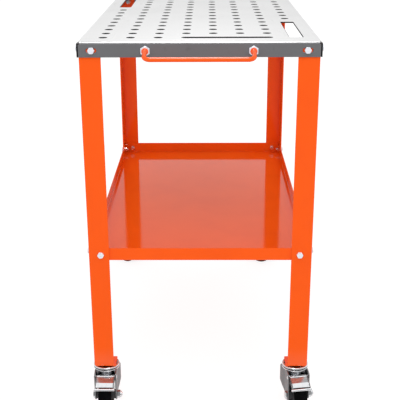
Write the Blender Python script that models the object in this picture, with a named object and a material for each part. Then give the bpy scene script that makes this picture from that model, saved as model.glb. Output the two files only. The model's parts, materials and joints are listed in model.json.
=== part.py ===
"""Mobile welding table: a folded, perforated steel top on four angle legs, with a tray shelf, a push
handle and four swivel casters with brake pedals.

Units are metres, +Z is up, and the handle is at the front, towards -Y. The origin is on the floor, under
the middle of the whole table as it stands.
"""

import math

import bmesh
import bpy
import numpy as np
from mathutils import Matrix, Vector

# Clearances
SEAT_GAP = 0.0003
BOLT_PLAY = 0.0006
CORNER_SLIT = 0.0006

# Table top, one folded sheet
TOP_LENGTH = 0.900
TOP_WIDTH = 0.520
TOP_SHEET = 0.003
TOP_BEND = 0.0055
FLANGE_DEPTH = 0.0325
HOLE_DIAMETER = 0.016
HOLE_PITCH = 0.060
HOLE_MARGIN = 0.045
TOOL_SLOT_WIDTH = 0.029
TOOL_SLOT_CORNER = 0.003
TOOL_SLOT_PITCHES = 4
EDGE_SLOT_PITCHES = 3

# Bolts and nuts of the frame
BOLT_DIAMETER = 0.008
BOLT_ACROSS_FLATS = 0.013
BOLT_HEAD_HEIGHT = 0.0053
BOLT_NUT_HEIGHT = 0.0065
BOLT_TAIL = 0.003
BOLT_INSET = 0.031
FLANGE_BOLT_DROP = 0.018
FLANGE_SLOT_LENGTH = 0.023

# Legs, pressed angles with a welded foot plate
LEG_WIDTH = 0.047
LEG_SHEET = 0.003
LEG_LENGTH = 0.7743
LEG_CORNER = 0.002
FOOT_WIDTH = 0.051
FOOT_DEPTH = 0.0405
FOOT_SHEET = 0.004
FOOT_INSET = 0.001

# Shelf, a folded tray
SHELF_SHEET = 0.002
SHELF_BEND = 0.003
SHELF_WALL = 0.0308
SHELF_ABOVE_FOOT = 0.2773
SHELF_BOLT_HEIGHT = 0.0154

# Push handle, a bent rod
HANDLE_ROD = 0.010
HANDLE_SPAN = 0.229
HANDLE_REACH = 0.050
HANDLE_DROP = 0.0185
HANDLE_DROOP = 0.011
HANDLE_BEND = 0.013
HANDLE_ELBOW = 0.012
HANDLE_COLLAR = 0.0155
HANDLE_COLLAR_LENGTH = 0.003
HANDLE_NUT_FLATS = 0.018
HANDLE_NUT_HEIGHT = 0.008
HANDLE_TAIL = 0.004

# Caster stem, bowl and bearing
STEM_INSET = 0.0268
STEM_SETBACK = 0.021
STEM_DIAMETER = 0.012
STEM_TAIL = 0.003
STEM_NUT_FLATS = 0.019
STEM_NUT_HEIGHT = 0.010
BOWL_DIAMETER = 0.063
BOWL_SHOULDER = 0.029
BOWL_RIM = 0.004
BOWL_DEPTH = 0.0056
BEARING_HEIGHT = 0.0012
BEARING_INNER = 0.040
BEARING_OUTER = 0.056
KING_PIN = 0.014
KING_PIN_FLANGE = 0.028
KING_PIN_FLANGE_HEIGHT = 0.0035

# Caster fork
FORK_SHEET = 0.003
FORK_WIDTH = 0.053
CROWN_HEIGHT = 0.0156
CROWN_LIP = 0.003
CROWN_WAIST = 0.040
CROWN_BORE = 0.032
BRIDGE_FRONT = 0.0295
BRIDGE_BACK = 0.012
BRIDGE_HOLE = 0.036
CHEEK_BACK = 0.018
CHEEK_BACK_DROP = 0.055
CHEEK_BEND = 0.016
CHEEK_FLARE = 0.0055
CHEEK_SHOULDER = 0.024
CHEEK_FRONT = 0.040
CHEEK_BROW = 0.006
CHEEK_END = 0.011
CHEEK_END_TURN_FROM = 200.0
CHEEK_END_TURN_TO = 335.0
AXLE_DROP = 0.0711
TRAIL = 0.030

# Wheel and axle
WHEEL_DIAMETER = 0.075
WHEEL_WIDTH = 0.032
TYRE_DEPTH = 0.009
TYRE_SHOULDER = 0.0035
TYRE_SHOULDER_STEP = 0.0012
HUB_BARREL = 0.022
HUB_WEB = 0.018
HUB_RIM = 0.004
SIDE_PLAY = 0.0004
AXLE_DIAMETER = 0.010
AXLE_FLATS = 0.017
AXLE_HEAD_HEIGHT = 0.0045
AXLE_NUT_HEIGHT = 0.0105
AXLE_TAIL = 0.002

# Brake pedal, a bent plate on a cross rod, with its slopes in degrees
PEDAL_SHEET = 0.0025
PEDAL_SIDE_PLAY = 0.001
PEDAL_PIVOT_REACH = 0.034
PEDAL_PIVOT_DROP = 0.0216
PEDAL_PIN = 0.005
PEDAL_PLATE_LENGTH = 0.0205
PEDAL_PLATE_SLOPE = 22.0
PEDAL_TREAD_LENGTH = 0.018
PEDAL_TREAD_SLOPE = 35.0
PEDAL_LIP_WIDTH = 0.049
PEDAL_LIP_DIAMETER = 0.006
PEDAL_SIDE_BACK = 0.003
PEDAL_SIDE_RISE = 0.0015
PEDAL_SIDE_DEPTH = 0.010
PEDAL_SIDE_DEPTH_AT_BEND = 0.006

# How each caster stands, as turns about its stem in degrees: 0 points its pedal to the front
CASTER_TURNS = {"front_left": 0.0, "front_right": 9.3, "rear_right": -108.0, "rear_left": -115.0}

# Facets
HOLE_QUARTER_STEPS = 3
BOLT_HOLE_QUARTER_STEPS = 2
BEND_STEPS = 3
FOOT_CORNER_STEPS = 2
CHEEK_END_STEPS = 4
BOLT_SIDES = 12
TURNED_SIDES = 16
HUB_SIDES = 16
TYRE_SIDES = 24
ROD_SIDES = 10
ROD_BEND_STEPS = 4
SMOOTH_ANGLE = math.radians(35)

# Heights above the foot plates' underside
LEG_TOP = FOOT_INSET + LEG_LENGTH
WORK_SURFACE = LEG_TOP + SEAT_GAP + TOP_BEND
FLANGE_BOLT_Z = WORK_SURFACE - FLANGE_BOLT_DROP
SHELF_BOLT_Z = SHELF_ABOVE_FOOT + SHELF_BOLT_HEIGHT

# Insets from the table top's outer faces
LEG_INSET = TOP_SHEET + SEAT_GAP
SHELF_INSET = LEG_INSET + LEG_SHEET + SEAT_GAP

BOLT_HOLE = BOLT_DIAMETER + 2 * BOLT_PLAY
CROWN_TOP = -(BOWL_DEPTH + 2 * SEAT_GAP + BEARING_HEIGHT)
FORK_INNER = FORK_WIDTH / 2 - FORK_SHEET
CHEEK_SPREAD = CHEEK_FLARE / (CHEEK_BACK + CHEEK_BEND)
CORNERS = ("front_left", "front_right", "rear_right", "rear_left")
CORNER_SIGNS = ((-1, -1), (1, -1), (1, 1), (-1, 1))


def clear_scene():
    for obj in list(bpy.data.objects):
        bpy.data.objects.remove(obj, do_unlink=True)


def paint(name, color, roughness, metallic):
    """A Principled material of one colour."""
    made = bpy.data.materials.new(name)
    made.use_nodes = True
    shader = made.node_tree.nodes["Principled BSDF"]
    shader.inputs["Base Color"].default_value = (*color, 1.0)
    shader.inputs["Roughness"].default_value = roughness
    shader.inputs["Metallic"].default_value = metallic
    return made


def to_mesh(name, shape):
    """The bmesh as a mesh, smooth on its round stretches."""
    mesh = bpy.data.meshes.new(name)
    shape.to_mesh(mesh)
    shape.free()
    mesh.shade_smooth()
    mesh.set_sharp_from_angle(angle=SMOOTH_ANGLE)
    return mesh


def place(name, mesh, finish, parent, location=(0, 0, 0), rotation=(0, 0, 0)):
    """A named object that shows this mesh."""
    obj = bpy.data.objects.new(name, mesh)
    bpy.context.collection.objects.link(obj)
    if not mesh.materials:
        mesh.materials.append(finish)
    obj.parent = parent
    obj.location = location
    obj.rotation_euler = rotation
    return obj


def guide(name, parent, location=(0, 0, 0), turn=0.0):
    """An empty that carries other objects."""
    empty = bpy.data.objects.new(name, None)
    bpy.context.collection.objects.link(empty)
    empty.parent = parent
    empty.location = location
    empty.rotation_euler = (0, 0, turn)
    return empty


def modified(name, base, kind, **settings):
    """The mesh that one modifier makes of a base mesh."""
    holder = bpy.data.objects.new(name, base)
    bpy.context.collection.objects.link(holder)
    modifier = holder.modifiers.new(kind, kind)
    for key, value in settings.items():
        setattr(modifier, key, value)
    graph = bpy.context.evaluated_depsgraph_get()
    mesh = bpy.data.meshes.new_from_object(holder.evaluated_get(graph))
    bpy.data.objects.remove(holder)
    mesh.name = name
    mesh.shade_smooth()
    mesh.set_sharp_from_angle(angle=SMOOTH_ANGLE)
    return mesh


def combined(name, base, other, operation):
    """A base mesh joined with, or cut by, the closed bodies of another."""
    tool = bpy.data.objects.new(name + "_tool", other)
    bpy.context.collection.objects.link(tool)
    mesh = modified(name, base, "BOOLEAN", operation=operation, object=tool, solver="EXACT", use_self=True)
    bpy.data.objects.remove(tool)
    return mesh


def rounded_rectangle(length, width, radius, steps):
    """Outline, counterclockwise, with the long side along X and a quarter circle at each corner."""
    points = []
    for quarter, (side_x, side_y) in enumerate(((1, 1), (-1, 1), (-1, -1), (1, -1))):
        centre_x = side_x * (length / 2 - radius)
        centre_y = side_y * (width / 2 - radius)
        for step in range(steps + 1):
            angle = math.pi / 2 * (quarter + step / steps)
            point = (centre_x + radius * math.cos(angle), centre_y + radius * math.sin(angle))
            if not points or math.dist(point, points[-1]) > SEAT_GAP / 10:
                points.append(point)
    if math.dist(points[0], points[-1]) < SEAT_GAP / 10:
        points.pop()
    return points


def prism(shape, outline, low, high, turn=Matrix()):
    """A closed prism on a counterclockwise outline, from low to high along Z, then moved by a matrix."""
    bottom = [shape.verts.new(turn @ Vector((x, y, low))) for x, y in outline]
    top = [shape.verts.new(turn @ Vector((x, y, high))) for x, y in outline]
    shape.faces.new(bottom[::-1])
    shape.faces.new(top)
    for i in range(len(outline)):
        j = (i + 1) % len(outline)
        shape.faces.new((bottom[i], bottom[j], top[j], top[i]))


def turned(shape, stations, sides, turn=Matrix(), ring=False, start=0.0):
    """A solid of stacked rings, each (height, half width, is it a hexagon), listed upwards on the outside.

    With ring set the list goes on down the bore, and the last ring joins the first.
    """
    rings = []
    for height, half_width, hexagonal in stations:
        loop = []
        for side in range(sides):
            angle = start + math.tau * side / sides
            radius = half_width
            if hexagonal:
                radius /= math.cos(angle % (math.pi / 3) - math.pi / 6)
            point = Vector((radius * math.cos(angle), radius * math.sin(angle), height))
            loop.append(shape.verts.new(turn @ point))
        rings.append(loop)
    if not ring:
        shape.faces.new(rings[0][::-1])
        shape.faces.new(rings[-1])
    for lower, upper in zip(rings, rings[1:] + rings[:1] if ring else rings[1:]):
        for i in range(sides):
            j = (i + 1) % sides
            shape.faces.new((lower[i], lower[j], upper[j], upper[i]))


def hex_bolt(diameter, flats, head_height, grip, nut_height, tail):
    """A bolt and its tightened nut along +Z, with the head's seat at z = 0."""
    radius = diameter / 2
    nut_seat = grip + 2 * SEAT_GAP
    nut_top = nut_seat + nut_height
    shape = bmesh.new()
    stations = (
        (-head_height, flats / 2, True),
        (0.0, flats / 2, True),
        (0.0, radius, False),
        (nut_seat, radius, False),
        (nut_seat, flats / 2, True),
        (nut_top, flats / 2, True),
        (nut_top, radius, False),
        (nut_top + tail, radius, False),
    )
    turned(shape, stations, BOLT_SIDES)
    return shape


def hex_nut(bore, flats, height):
    """A hexagonal nut along +Z, from z = 0 up."""
    shape = bmesh.new()
    inner = bore / 2 + SEAT_GAP
    stations = (
        (0.0, flats / 2, True),
        (height, flats / 2, True),
        (height, inner, False),
        (0.0, inner, False),
    )
    turned(shape, stations, BOLT_SIDES, ring=True)
    return shape


def folded_sheet(name, width, length, depth, sheet, bend, fold):
    """A flat sheet, its outer face at z = 0, with its four edges folded over: fold is -1 for down, 1 for up.

    The side flanges run the whole length. The end flanges lie between them, past a slit at each corner.
    """
    flat_x = width / 2 - bend
    flat_y = length / 2 - bend
    bend_x = flat_x - CORNER_SLIT
    flange_x = width / 2 - sheet - CORNER_SLIT
    angles = [math.pi / 2 * step / BEND_STEPS for step in range(BEND_STEPS + 1)]
    curve = [(bend * math.sin(a), bend * (1 - math.cos(a))) for a in angles]
    shell = bmesh.new()
    known = {}

    def vert(x, y, drop):
        key = (round(x, 6), round(y, 6), round(drop, 6))
        if key not in known:
            known[key] = shell.verts.new((x, y, fold * drop))
        return known[key]

    def face(*points):
        return shell.faces.new([vert(*point) for point in points])

    front = [(x, -flat_y, 0.0) for x in (-flat_x, -bend_x, bend_x, flat_x)]
    flat = face(*front, *[(-x, -y, z) for x, y, z in front])
    for side in (-1, 1):
        profile = [(side * (flat_x + out), drop) for out, drop in curve] + [(side * width / 2, depth)]
        for (x0, z0), (x1, z1) in zip(profile, profile[1:]):
            for y0, y1 in ((-length / 2, -flat_y), (-flat_y, flat_y), (flat_y, length / 2)):
                face((x0, y0, z0), (x1, y0, z1), (x1, y1, z1), (x0, y1, z0))
        profile = [(side * (flat_y + out), drop) for out, drop in curve]
        for (y0, z0), (y1, z1) in zip(profile, profile[1:]):
            face((-bend_x, y0, z0), (bend_x, y0, z0), (bend_x, y1, z1), (-bend_x, y1, z1))
        end = side * length / 2
        upper = [(x, end, bend) for x in (-flange_x, -bend_x, bend_x, flange_x)]
        face(*upper, (flange_x, end, depth), (-flange_x, end, depth))
    bmesh.ops.recalc_face_normals(shell, faces=shell.faces)
    if flat.normal.z * fold > 0:
        bmesh.ops.reverse_faces(shell, faces=shell.faces)
    base = to_mesh(name + "_shell", shell)
    return modified(name, base, "SOLIDIFY", thickness=sheet, offset=-1.0, use_even_offset=True)


def across(x, y, z, along_x):
    """Turns +Z to face into the table's end (along_x set) or its side, at a point of that flange."""
    if along_x:
        return Matrix.Translation((x, y, z)) @ Matrix.Rotation(math.pi / 2, 4, "X")
    turn = Matrix.Rotation(math.pi / 2, 4, "Z") @ Matrix.Rotation(math.pi / 2, 4, "X")
    return Matrix.Translation((x, y, z)) @ turn


def grid_places(extent):
    """The hole centres across one extent of the top, evenly about the middle."""
    count = int((extent - 2 * HOLE_MARGIN) / HOLE_PITCH + 1)
    return [(i - (count - 1) / 2) * HOLE_PITCH for i in range(count)]


def round_outline(diameter, steps=BOLT_HOLE_QUARTER_STEPS):
    return rounded_rectangle(diameter, diameter, diameter / 2, steps)


def slot_outline(length, width, steps=BOLT_HOLE_QUARTER_STEPS):
    return rounded_rectangle(length, width, width / 2, steps)


def make_top(table, finish):
    """The perforated work surface, with two tool slots, two edge slots and the bolt slots of its flanges."""
    sheet = folded_sheet("table_top", TOP_WIDTH, TOP_LENGTH, FLANGE_DEPTH, TOP_SHEET, TOP_BEND, -1)
    columns = grid_places(TOP_WIDTH)
    rows = grid_places(TOP_LENGTH)
    reach = 2 * TOP_SHEET
    cuts = bmesh.new()
    taken = set()
    tool_rows = rows[: TOOL_SLOT_PITCHES + 1]
    edge_columns = columns[-2 - EDGE_SLOT_PITCHES : -1]
    tool_slot = rounded_rectangle(
        tool_rows[-1] - tool_rows[0], TOOL_SLOT_WIDTH, TOOL_SLOT_CORNER, HOLE_QUARTER_STEPS
    )
    edge_length = edge_columns[-1] - edge_columns[0] + HOLE_DIAMETER
    edge_slot = slot_outline(edge_length, HOLE_DIAMETER, HOLE_QUARTER_STEPS)
    fixture_hole = round_outline(HOLE_DIAMETER, HOLE_QUARTER_STEPS)
    for end in (1, -1):
        half_turn = Matrix.Rotation(0.0 if end > 0 else math.pi, 4, "Z")
        tool_place = Matrix.Translation((columns[-1], (tool_rows[0] + tool_rows[-1]) / 2, 0))
        edge_place = Matrix.Translation(((edge_columns[0] + edge_columns[-1]) / 2, rows[0], 0))
        quarter_turn = Matrix.Rotation(math.pi / 2, 4, "Z")
        prism(cuts, tool_slot, -reach, reach, half_turn @ tool_place @ quarter_turn)
        prism(cuts, edge_slot, -reach, reach, half_turn @ edge_place)
        taken.update((round(end * columns[-1], 6), round(end * y, 6)) for y in tool_rows)
        taken.update((round(end * x, 6), round(end * rows[0], 6)) for x in edge_columns)
    for x in columns:
        for y in rows:
            if (round(x, 6), round(y, 6)) not in taken:
                prism(cuts, fixture_hole, -reach, reach, Matrix.Translation((x, y, 0)))
    bolt_slot = slot_outline(FLANGE_SLOT_LENGTH, BOLT_HOLE)
    for side_x, side_y in CORNER_SIGNS:
        inner_x = side_x * (TOP_WIDTH / 2 - BOLT_INSET)
        inner_y = side_y * (TOP_LENGTH / 2 - BOLT_INSET)
        end_place = across(inner_x, side_y * TOP_LENGTH / 2, -FLANGE_BOLT_DROP, True)
        side_place = across(side_x * TOP_WIDTH / 2, inner_y, -FLANGE_BOLT_DROP, False)
        for bolt_place in (end_place, side_place):
            prism(cuts, bolt_slot, -reach, reach, bolt_place)
    rod_hole = round_outline(HANDLE_ROD + 2 * BOLT_PLAY)
    for side in (-1, 1):
        rod_place = across(side * HANDLE_SPAN / 2, -TOP_LENGTH / 2, -HANDLE_DROP, True)
        prism(cuts, rod_hole, -reach, reach, rod_place)
    mesh = combined("table_top", sheet, to_mesh("table_top_cuts", cuts), "DIFFERENCE")
    place("table_top", mesh, finish, table, (0, 0, WORK_SURFACE))


def leg_outline():
    """The angle's section, its outer corner at the origin and rounded."""
    corner = [
        (LEG_CORNER - LEG_CORNER * math.cos(a), LEG_CORNER - LEG_CORNER * math.sin(a))
        for a in (0.0, math.pi / 4, math.pi / 2)
    ]
    limbs = [(LEG_WIDTH, 0.0), (LEG_WIDTH, LEG_SHEET), (LEG_SHEET, LEG_SHEET), (LEG_SHEET, LEG_WIDTH)]
    return corner + limbs + [(0.0, LEG_WIDTH)]


def leg_mesh(foot_size, stem):
    """One leg, its outer corner at the origin: two limbs, the foot plate under them, and their holes."""
    angle = bmesh.new()
    prism(angle, leg_outline(), FOOT_INSET, LEG_TOP)
    foot = bmesh.new()
    plate = rounded_rectangle(*foot_size, LEG_CORNER, FOOT_CORNER_STEPS)
    middle = (FOOT_INSET + foot_size[0] / 2, FOOT_INSET + foot_size[1] / 2, 0)
    prism(foot, plate, 0.0, FOOT_SHEET, Matrix.Translation(middle))
    joined = combined("leg_joined", to_mesh("leg_angle", angle), to_mesh("leg_foot", foot), "UNION")
    cuts = bmesh.new()
    reach = 2 * LEG_SHEET
    along = BOLT_INSET - LEG_INSET
    for height in (FLANGE_BOLT_Z, SHELF_BOLT_Z):
        prism(cuts, round_outline(BOLT_HOLE), -reach, reach, across(along, 0, height, True))
        prism(cuts, round_outline(BOLT_HOLE), -reach, reach, across(0, along, height, False))
    stem_hole = round_outline(STEM_DIAMETER + 2 * BOLT_PLAY)
    prism(cuts, stem_hole, -FOOT_SHEET, 2 * FOOT_SHEET, Matrix.Translation((*stem, 0)))
    return combined("leg", joined, to_mesh("leg_cuts", cuts), "DIFFERENCE")


def make_legs(table, orange, zinc):
    """Four legs, each a quarter turn on from the last, with the bolts that hold the top and the shelf."""
    right_hand = leg_mesh((FOOT_WIDTH, FOOT_DEPTH), (STEM_INSET, STEM_SETBACK))
    left_hand = leg_mesh((FOOT_DEPTH, FOOT_WIDTH), (STEM_SETBACK, STEM_INSET))
    flange_grip = TOP_SHEET + SEAT_GAP + LEG_SHEET
    shelf_grip = LEG_SHEET + SEAT_GAP + SHELF_SHEET
    sizes = (BOLT_DIAMETER, BOLT_ACROSS_FLATS, BOLT_HEAD_HEIGHT)
    flange_bolt = to_mesh("flange_bolt", hex_bolt(*sizes, flange_grip, BOLT_NUT_HEIGHT, BOLT_TAIL))
    shelf_bolt = to_mesh("shelf_bolt", hex_bolt(*sizes, shelf_grip, BOLT_NUT_HEIGHT, BOLT_TAIL))
    rows = (
        ("flange_bolt", flange_bolt, FLANGE_BOLT_Z, LEG_INSET + SEAT_GAP),
        ("shelf_bolt", shelf_bolt, SHELF_BOLT_Z, SEAT_GAP),
    )
    along = BOLT_INSET - LEG_INSET
    for quarter, (corner, (side_x, side_y)) in enumerate(zip(CORNERS, CORNER_SIGNS)):
        outer = (side_x * (TOP_WIDTH / 2 - LEG_INSET), side_y * (TOP_LENGTH / 2 - LEG_INSET), 0)
        leg = right_hand if quarter % 2 == 0 else left_hand
        post = place("leg_" + corner, leg, orange, table, outer, (0, 0, quarter * math.pi / 2))
        faces = ("end", "side") if quarter % 2 == 0 else ("side", "end")
        for kind, mesh, height, seat in rows:
            first = f"{kind}_{corner}_{faces[0]}"
            second = f"{kind}_{corner}_{faces[1]}"
            place(first, mesh, zinc, post, (along, -seat, height), (-math.pi / 2, 0, 0))
            place(second, mesh, zinc, post, (-seat, along, height), (0, math.pi / 2, 0))


def make_shelf(table, finish):
    """The tray between the legs, its walls bolted to their inner faces."""
    width = TOP_WIDTH - 2 * SHELF_INSET
    length = TOP_LENGTH - 2 * SHELF_INSET
    sheet = folded_sheet("lower_shelf", width, length, SHELF_WALL, SHELF_SHEET, SHELF_BEND, 1)
    cuts = bmesh.new()
    hole = round_outline(BOLT_HOLE)
    reach = 2 * SHELF_SHEET
    for side_x, side_y in CORNER_SIGNS:
        inner_x = side_x * (TOP_WIDTH / 2 - BOLT_INSET)
        inner_y = side_y * (TOP_LENGTH / 2 - BOLT_INSET)
        prism(cuts, hole, -reach, reach, across(inner_x, side_y * length / 2, SHELF_BOLT_HEIGHT, True))
        prism(cuts, hole, -reach, reach, across(side_x * width / 2, inner_y, SHELF_BOLT_HEIGHT, False))
    mesh = combined("lower_shelf", sheet, to_mesh("lower_shelf_cuts", cuts), "DIFFERENCE")
    place("lower_shelf", mesh, finish, table, (0, 0, SHELF_ABOVE_FOOT))


def filleted(points, radii):
    """The points of a path whose inner corners are rounded by arcs."""
    path = [points[0]]
    for before, corner, after, radius in zip(points, points[1:], points[2:], radii):
        come = (before - corner).normalized()
        leave = (after - corner).normalized()
        half = come.angle(leave) / 2
        centre = corner + (come + leave).normalized() * (radius / math.sin(half))
        start = corner + come * (radius / math.tan(half)) - centre
        swing = start.rotation_difference(corner + leave * (radius / math.tan(half)) - centre)
        for step in range(ROD_BEND_STEPS + 1):
            part = swing.copy()
            part.angle = swing.angle * step / ROD_BEND_STEPS
            path.append(centre + part @ start)
    return path + [points[-1]]


def swept(shape, path, radii, sides):
    """A closed rod along a path, with a radius at each point. Repeated points make a step."""
    aim = Vector((0, 0, 1))
    rings = []
    for i, point in enumerate(path):
        ahead = next((p for p in path[i:] if (p - point).length > SEAT_GAP), point)
        behind = next((p for p in path[i::-1] if (p - point).length > SEAT_GAP), point)
        forward = (ahead - behind).normalized()
        aim = (aim - forward * aim.dot(forward)).normalized()
        side = forward.cross(aim)
        ring = []
        for step in range(sides):
            angle = math.tau * step / sides
            offset = aim * math.sin(angle) - side * math.cos(angle)
            ring.append(shape.verts.new(point + offset * radii[i]))
        rings.append(ring)
    shape.faces.new(rings[0][::-1])
    shape.faces.new(rings[-1])
    for lower, upper in zip(rings, rings[1:]):
        for i in range(sides):
            j = (i + 1) % sides
            shape.faces.new((lower[i], lower[j], upper[j], upper[i]))
    bmesh.ops.recalc_face_normals(shape, faces=shape.faces)


def make_handle(table, orange, zinc):
    """The push handle: threaded ends through the front flange, a collar before each nut, and a low bar."""
    face_y = -TOP_LENGTH / 2
    rod_z = WORK_SURFACE - HANDLE_DROP
    nut_y = face_y - SEAT_GAP - HANDLE_NUT_HEIGHT
    collar_in = nut_y - SEAT_GAP
    collar_out = collar_in - HANDLE_COLLAR_LENGTH
    elbow_y = collar_out - HANDLE_ELBOW / 2
    inner_nut_y = face_y + TOP_SHEET + SEAT_GAP
    tail_y = inner_nut_y + HANDLE_NUT_HEIGHT + HANDLE_TAIL
    half = HANDLE_SPAN / 2
    bar_y = face_y - HANDLE_REACH
    bar_z = rod_z - HANDLE_DROOP
    knots = [
        Vector((-half, collar_out, rod_z)),
        Vector((-half, elbow_y, rod_z)),
        Vector((-half, bar_y, bar_z)),
        Vector((half, bar_y, bar_z)),
        Vector((half, elbow_y, rod_z)),
        Vector((half, collar_out, rod_z)),
    ]
    bend = filleted(knots, (HANDLE_ELBOW, HANDLE_BEND, HANDLE_BEND, HANDLE_ELBOW))
    rod = HANDLE_ROD / 2
    collar = HANDLE_COLLAR / 2
    ends = [(tail_y, rod), (collar_in, rod), (collar_in, collar), (collar_out, collar)]
    path = [Vector((-half, y, rod_z)) for y, _ in ends] + bend
    path += [Vector((half, y, rod_z)) for y, _ in ends[::-1]]
    radii = [r for _, r in ends] + [rod] * len(bend) + [r for _, r in ends[::-1]]
    shape = bmesh.new()
    swept(shape, path, radii, ROD_SIDES)
    place("push_handle", to_mesh("push_handle", shape), orange, table)
    nut = to_mesh("handle_nut", hex_nut(HANDLE_ROD, HANDLE_NUT_FLATS, HANDLE_NUT_HEIGHT))
    upright = (-math.pi / 2, 0, 0)
    for side, word in ((-1, "left"), (1, "right")):
        place(f"handle_nut_outer_{word}", nut, zinc, table, (side * half, nut_y, rod_z), upright)
        place(f"handle_nut_inner_{word}", nut, zinc, table, (side * half, inner_nut_y, rod_z), upright)


def stem_mesh():
    """Threaded stem, bowl, king pin and its riveted flange, all fixed to the leg."""
    nut_top = FOOT_SHEET + SEAT_GAP + STEM_NUT_HEIGHT
    crown_under = CROWN_TOP - FORK_SHEET
    flange_top = crown_under - SEAT_GAP
    flange_low = flange_top - KING_PIN_FLANGE_HEIGHT
    stations = (
        (flange_low, KING_PIN_FLANGE / 2, False),
        (flange_top, KING_PIN_FLANGE / 2, False),
        (flange_top, KING_PIN / 2, False),
        (-BOWL_DEPTH, KING_PIN / 2, False),
        (-BOWL_DEPTH, BOWL_DIAMETER / 2, False),
        (-BOWL_DEPTH + BOWL_RIM, BOWL_DIAMETER / 2, False),
        (-SEAT_GAP, BOWL_SHOULDER, False),
        (-SEAT_GAP, STEM_DIAMETER / 2, False),
        (nut_top + STEM_TAIL, STEM_DIAMETER / 2, False),
    )
    shape = bmesh.new()
    turned(shape, stations, TURNED_SIDES)
    return to_mesh("caster_stem", shape)


def bearing_mesh():
    """The ball ring between the bowl and the fork's crown."""
    low = CROWN_TOP + SEAT_GAP
    high = low + BEARING_HEIGHT
    stations = (
        (low, BEARING_OUTER / 2, False),
        (high, BEARING_OUTER / 2, False),
        (high, BEARING_INNER / 2, False),
        (low, BEARING_INNER / 2, False),
    )
    shape = bmesh.new()
    turned(shape, stations, TURNED_SIDES, ring=True)
    return to_mesh("bearing_ring", shape)


def crosswise():
    """Turns the prism or ring's own axis to run along X, with its first side axis along Y."""
    return Matrix(((0, 0, 1, 0), (1, 0, 0, 0), (0, 1, 0, 0), (0, 0, 0, 1)))


def cheek_outlines():
    """One fork cheek seen from the side, as (Y, Z): the flat part round at the axle, and the flared wing."""
    top = CROWN_TOP - FORK_SHEET / 2
    brow = CROWN_TOP - CHEEK_BROW
    axle_y = -TRAIL
    axle_z = -AXLE_DROP
    turns = np.radians(np.linspace(CHEEK_END_TURN_FROM, CHEEK_END_TURN_TO, CHEEK_END_STEPS + 1))
    tip = [(axle_y + CHEEK_END * math.cos(a), axle_z + CHEEK_END * math.sin(a)) for a in turns]
    heel_y, heel_z = tip[-1]
    share = (-CHEEK_BEND - heel_y) / (CHEEK_BACK - heel_y)
    bend_low = (-CHEEK_BEND, heel_z + share * (-CHEEK_BACK_DROP - heel_z))
    bend_high = (-CHEEK_BEND, top)
    flat = tip + [bend_low, bend_high, (-CHEEK_SHOULDER, top), (-CHEEK_FRONT, brow)]
    wing = [bend_low, (CHEEK_BACK, -CHEEK_BACK_DROP), (CHEEK_BACK, top), bend_high]
    return flat, wing


def bridge_mesh():
    """The plate between the cheeks at the crown's lower end, open around the king pin's flange."""
    low = CROWN_TOP - CROWN_HEIGHT
    side = FORK_WIDTH / 2 - FORK_SHEET / 2
    back_side = side + CHEEK_SPREAD * (BRIDGE_BACK + CHEEK_BEND)
    right = [(side, -BRIDGE_FRONT), (side, -CHEEK_BEND), (back_side, BRIDGE_BACK)]
    plate = bmesh.new()
    prism(plate, right + [(-x, y) for x, y in right[::-1]], low, low + FORK_SHEET)
    hole = bmesh.new()
    prism(hole, round_outline(BRIDGE_HOLE), low - FORK_SHEET, low + 2 * FORK_SHEET)
    return combined("fork_bridge", to_mesh("bridge_plate", plate), to_mesh("bridge_hole", hole), "DIFFERENCE")


def fork_mesh():
    """The fork: a dished crown that turns on the king pin, a bridge, and two cheeks down to the axle."""
    waist = CROWN_TOP - CROWN_HEIGHT
    crown_rim = BOWL_DIAMETER / 2
    pin_hole = KING_PIN / 2 + SEAT_GAP
    bore = CROWN_BORE / 2
    stations = (
        (waist, CROWN_WAIST / 2, False),
        (CROWN_TOP - CROWN_LIP, crown_rim, False),
        (CROWN_TOP, crown_rim, False),
        (CROWN_TOP, pin_hole, False),
        (CROWN_TOP - FORK_SHEET, pin_hole, False),
        (CROWN_TOP - FORK_SHEET, bore, False),
        (waist, bore, False),
    )
    crown = bmesh.new()
    turned(crown, stations, TURNED_SIDES, ring=True)
    cheeks = bmesh.new()
    flat, wing = cheek_outlines()
    for side in (-1, 1):
        low, high = sorted((side * FORK_INNER, side * FORK_WIDTH / 2))
        prism(cheeks, flat, low, high, crosswise())
        flare = Matrix.Translation((side * CHEEK_SPREAD * CHEEK_BEND, 0, 0))
        flare[0][1] = side * CHEEK_SPREAD
        prism(cheeks, wing, low, high, flare @ crosswise())
    joined = combined("fork_joined", to_mesh("fork_crown", crown), to_mesh("fork_cheeks", cheeks), "UNION")
    joined = combined("fork_bridged", joined, bridge_mesh(), "UNION")
    cuts = bmesh.new()
    holes = (
        (AXLE_DIAMETER + 2 * BOLT_PLAY, -TRAIL, -AXLE_DROP),
        (PEDAL_PIN + 2 * BOLT_PLAY, -PEDAL_PIVOT_REACH, -PEDAL_PIVOT_DROP),
    )
    for diameter, y, z in holes:
        where = Matrix.Translation((0, y, z)) @ crosswise()
        prism(cuts, round_outline(diameter), -FORK_WIDTH, FORK_WIDTH, where)
    return combined("fork", joined, to_mesh("fork_cuts", cuts), "DIFFERENCE")


def axle_mesh():
    """The axle bolt with its nut, along X, centred between the cheeks."""
    sizes = (AXLE_DIAMETER, AXLE_FLATS, AXLE_HEAD_HEIGHT)
    shape = hex_bolt(*sizes, FORK_WIDTH, AXLE_NUT_HEIGHT, AXLE_TAIL)
    shape.transform(crosswise() @ Matrix.Translation((0, 0, -FORK_WIDTH / 2 - SEAT_GAP)))
    return to_mesh("axle_bolt", shape)


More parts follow.
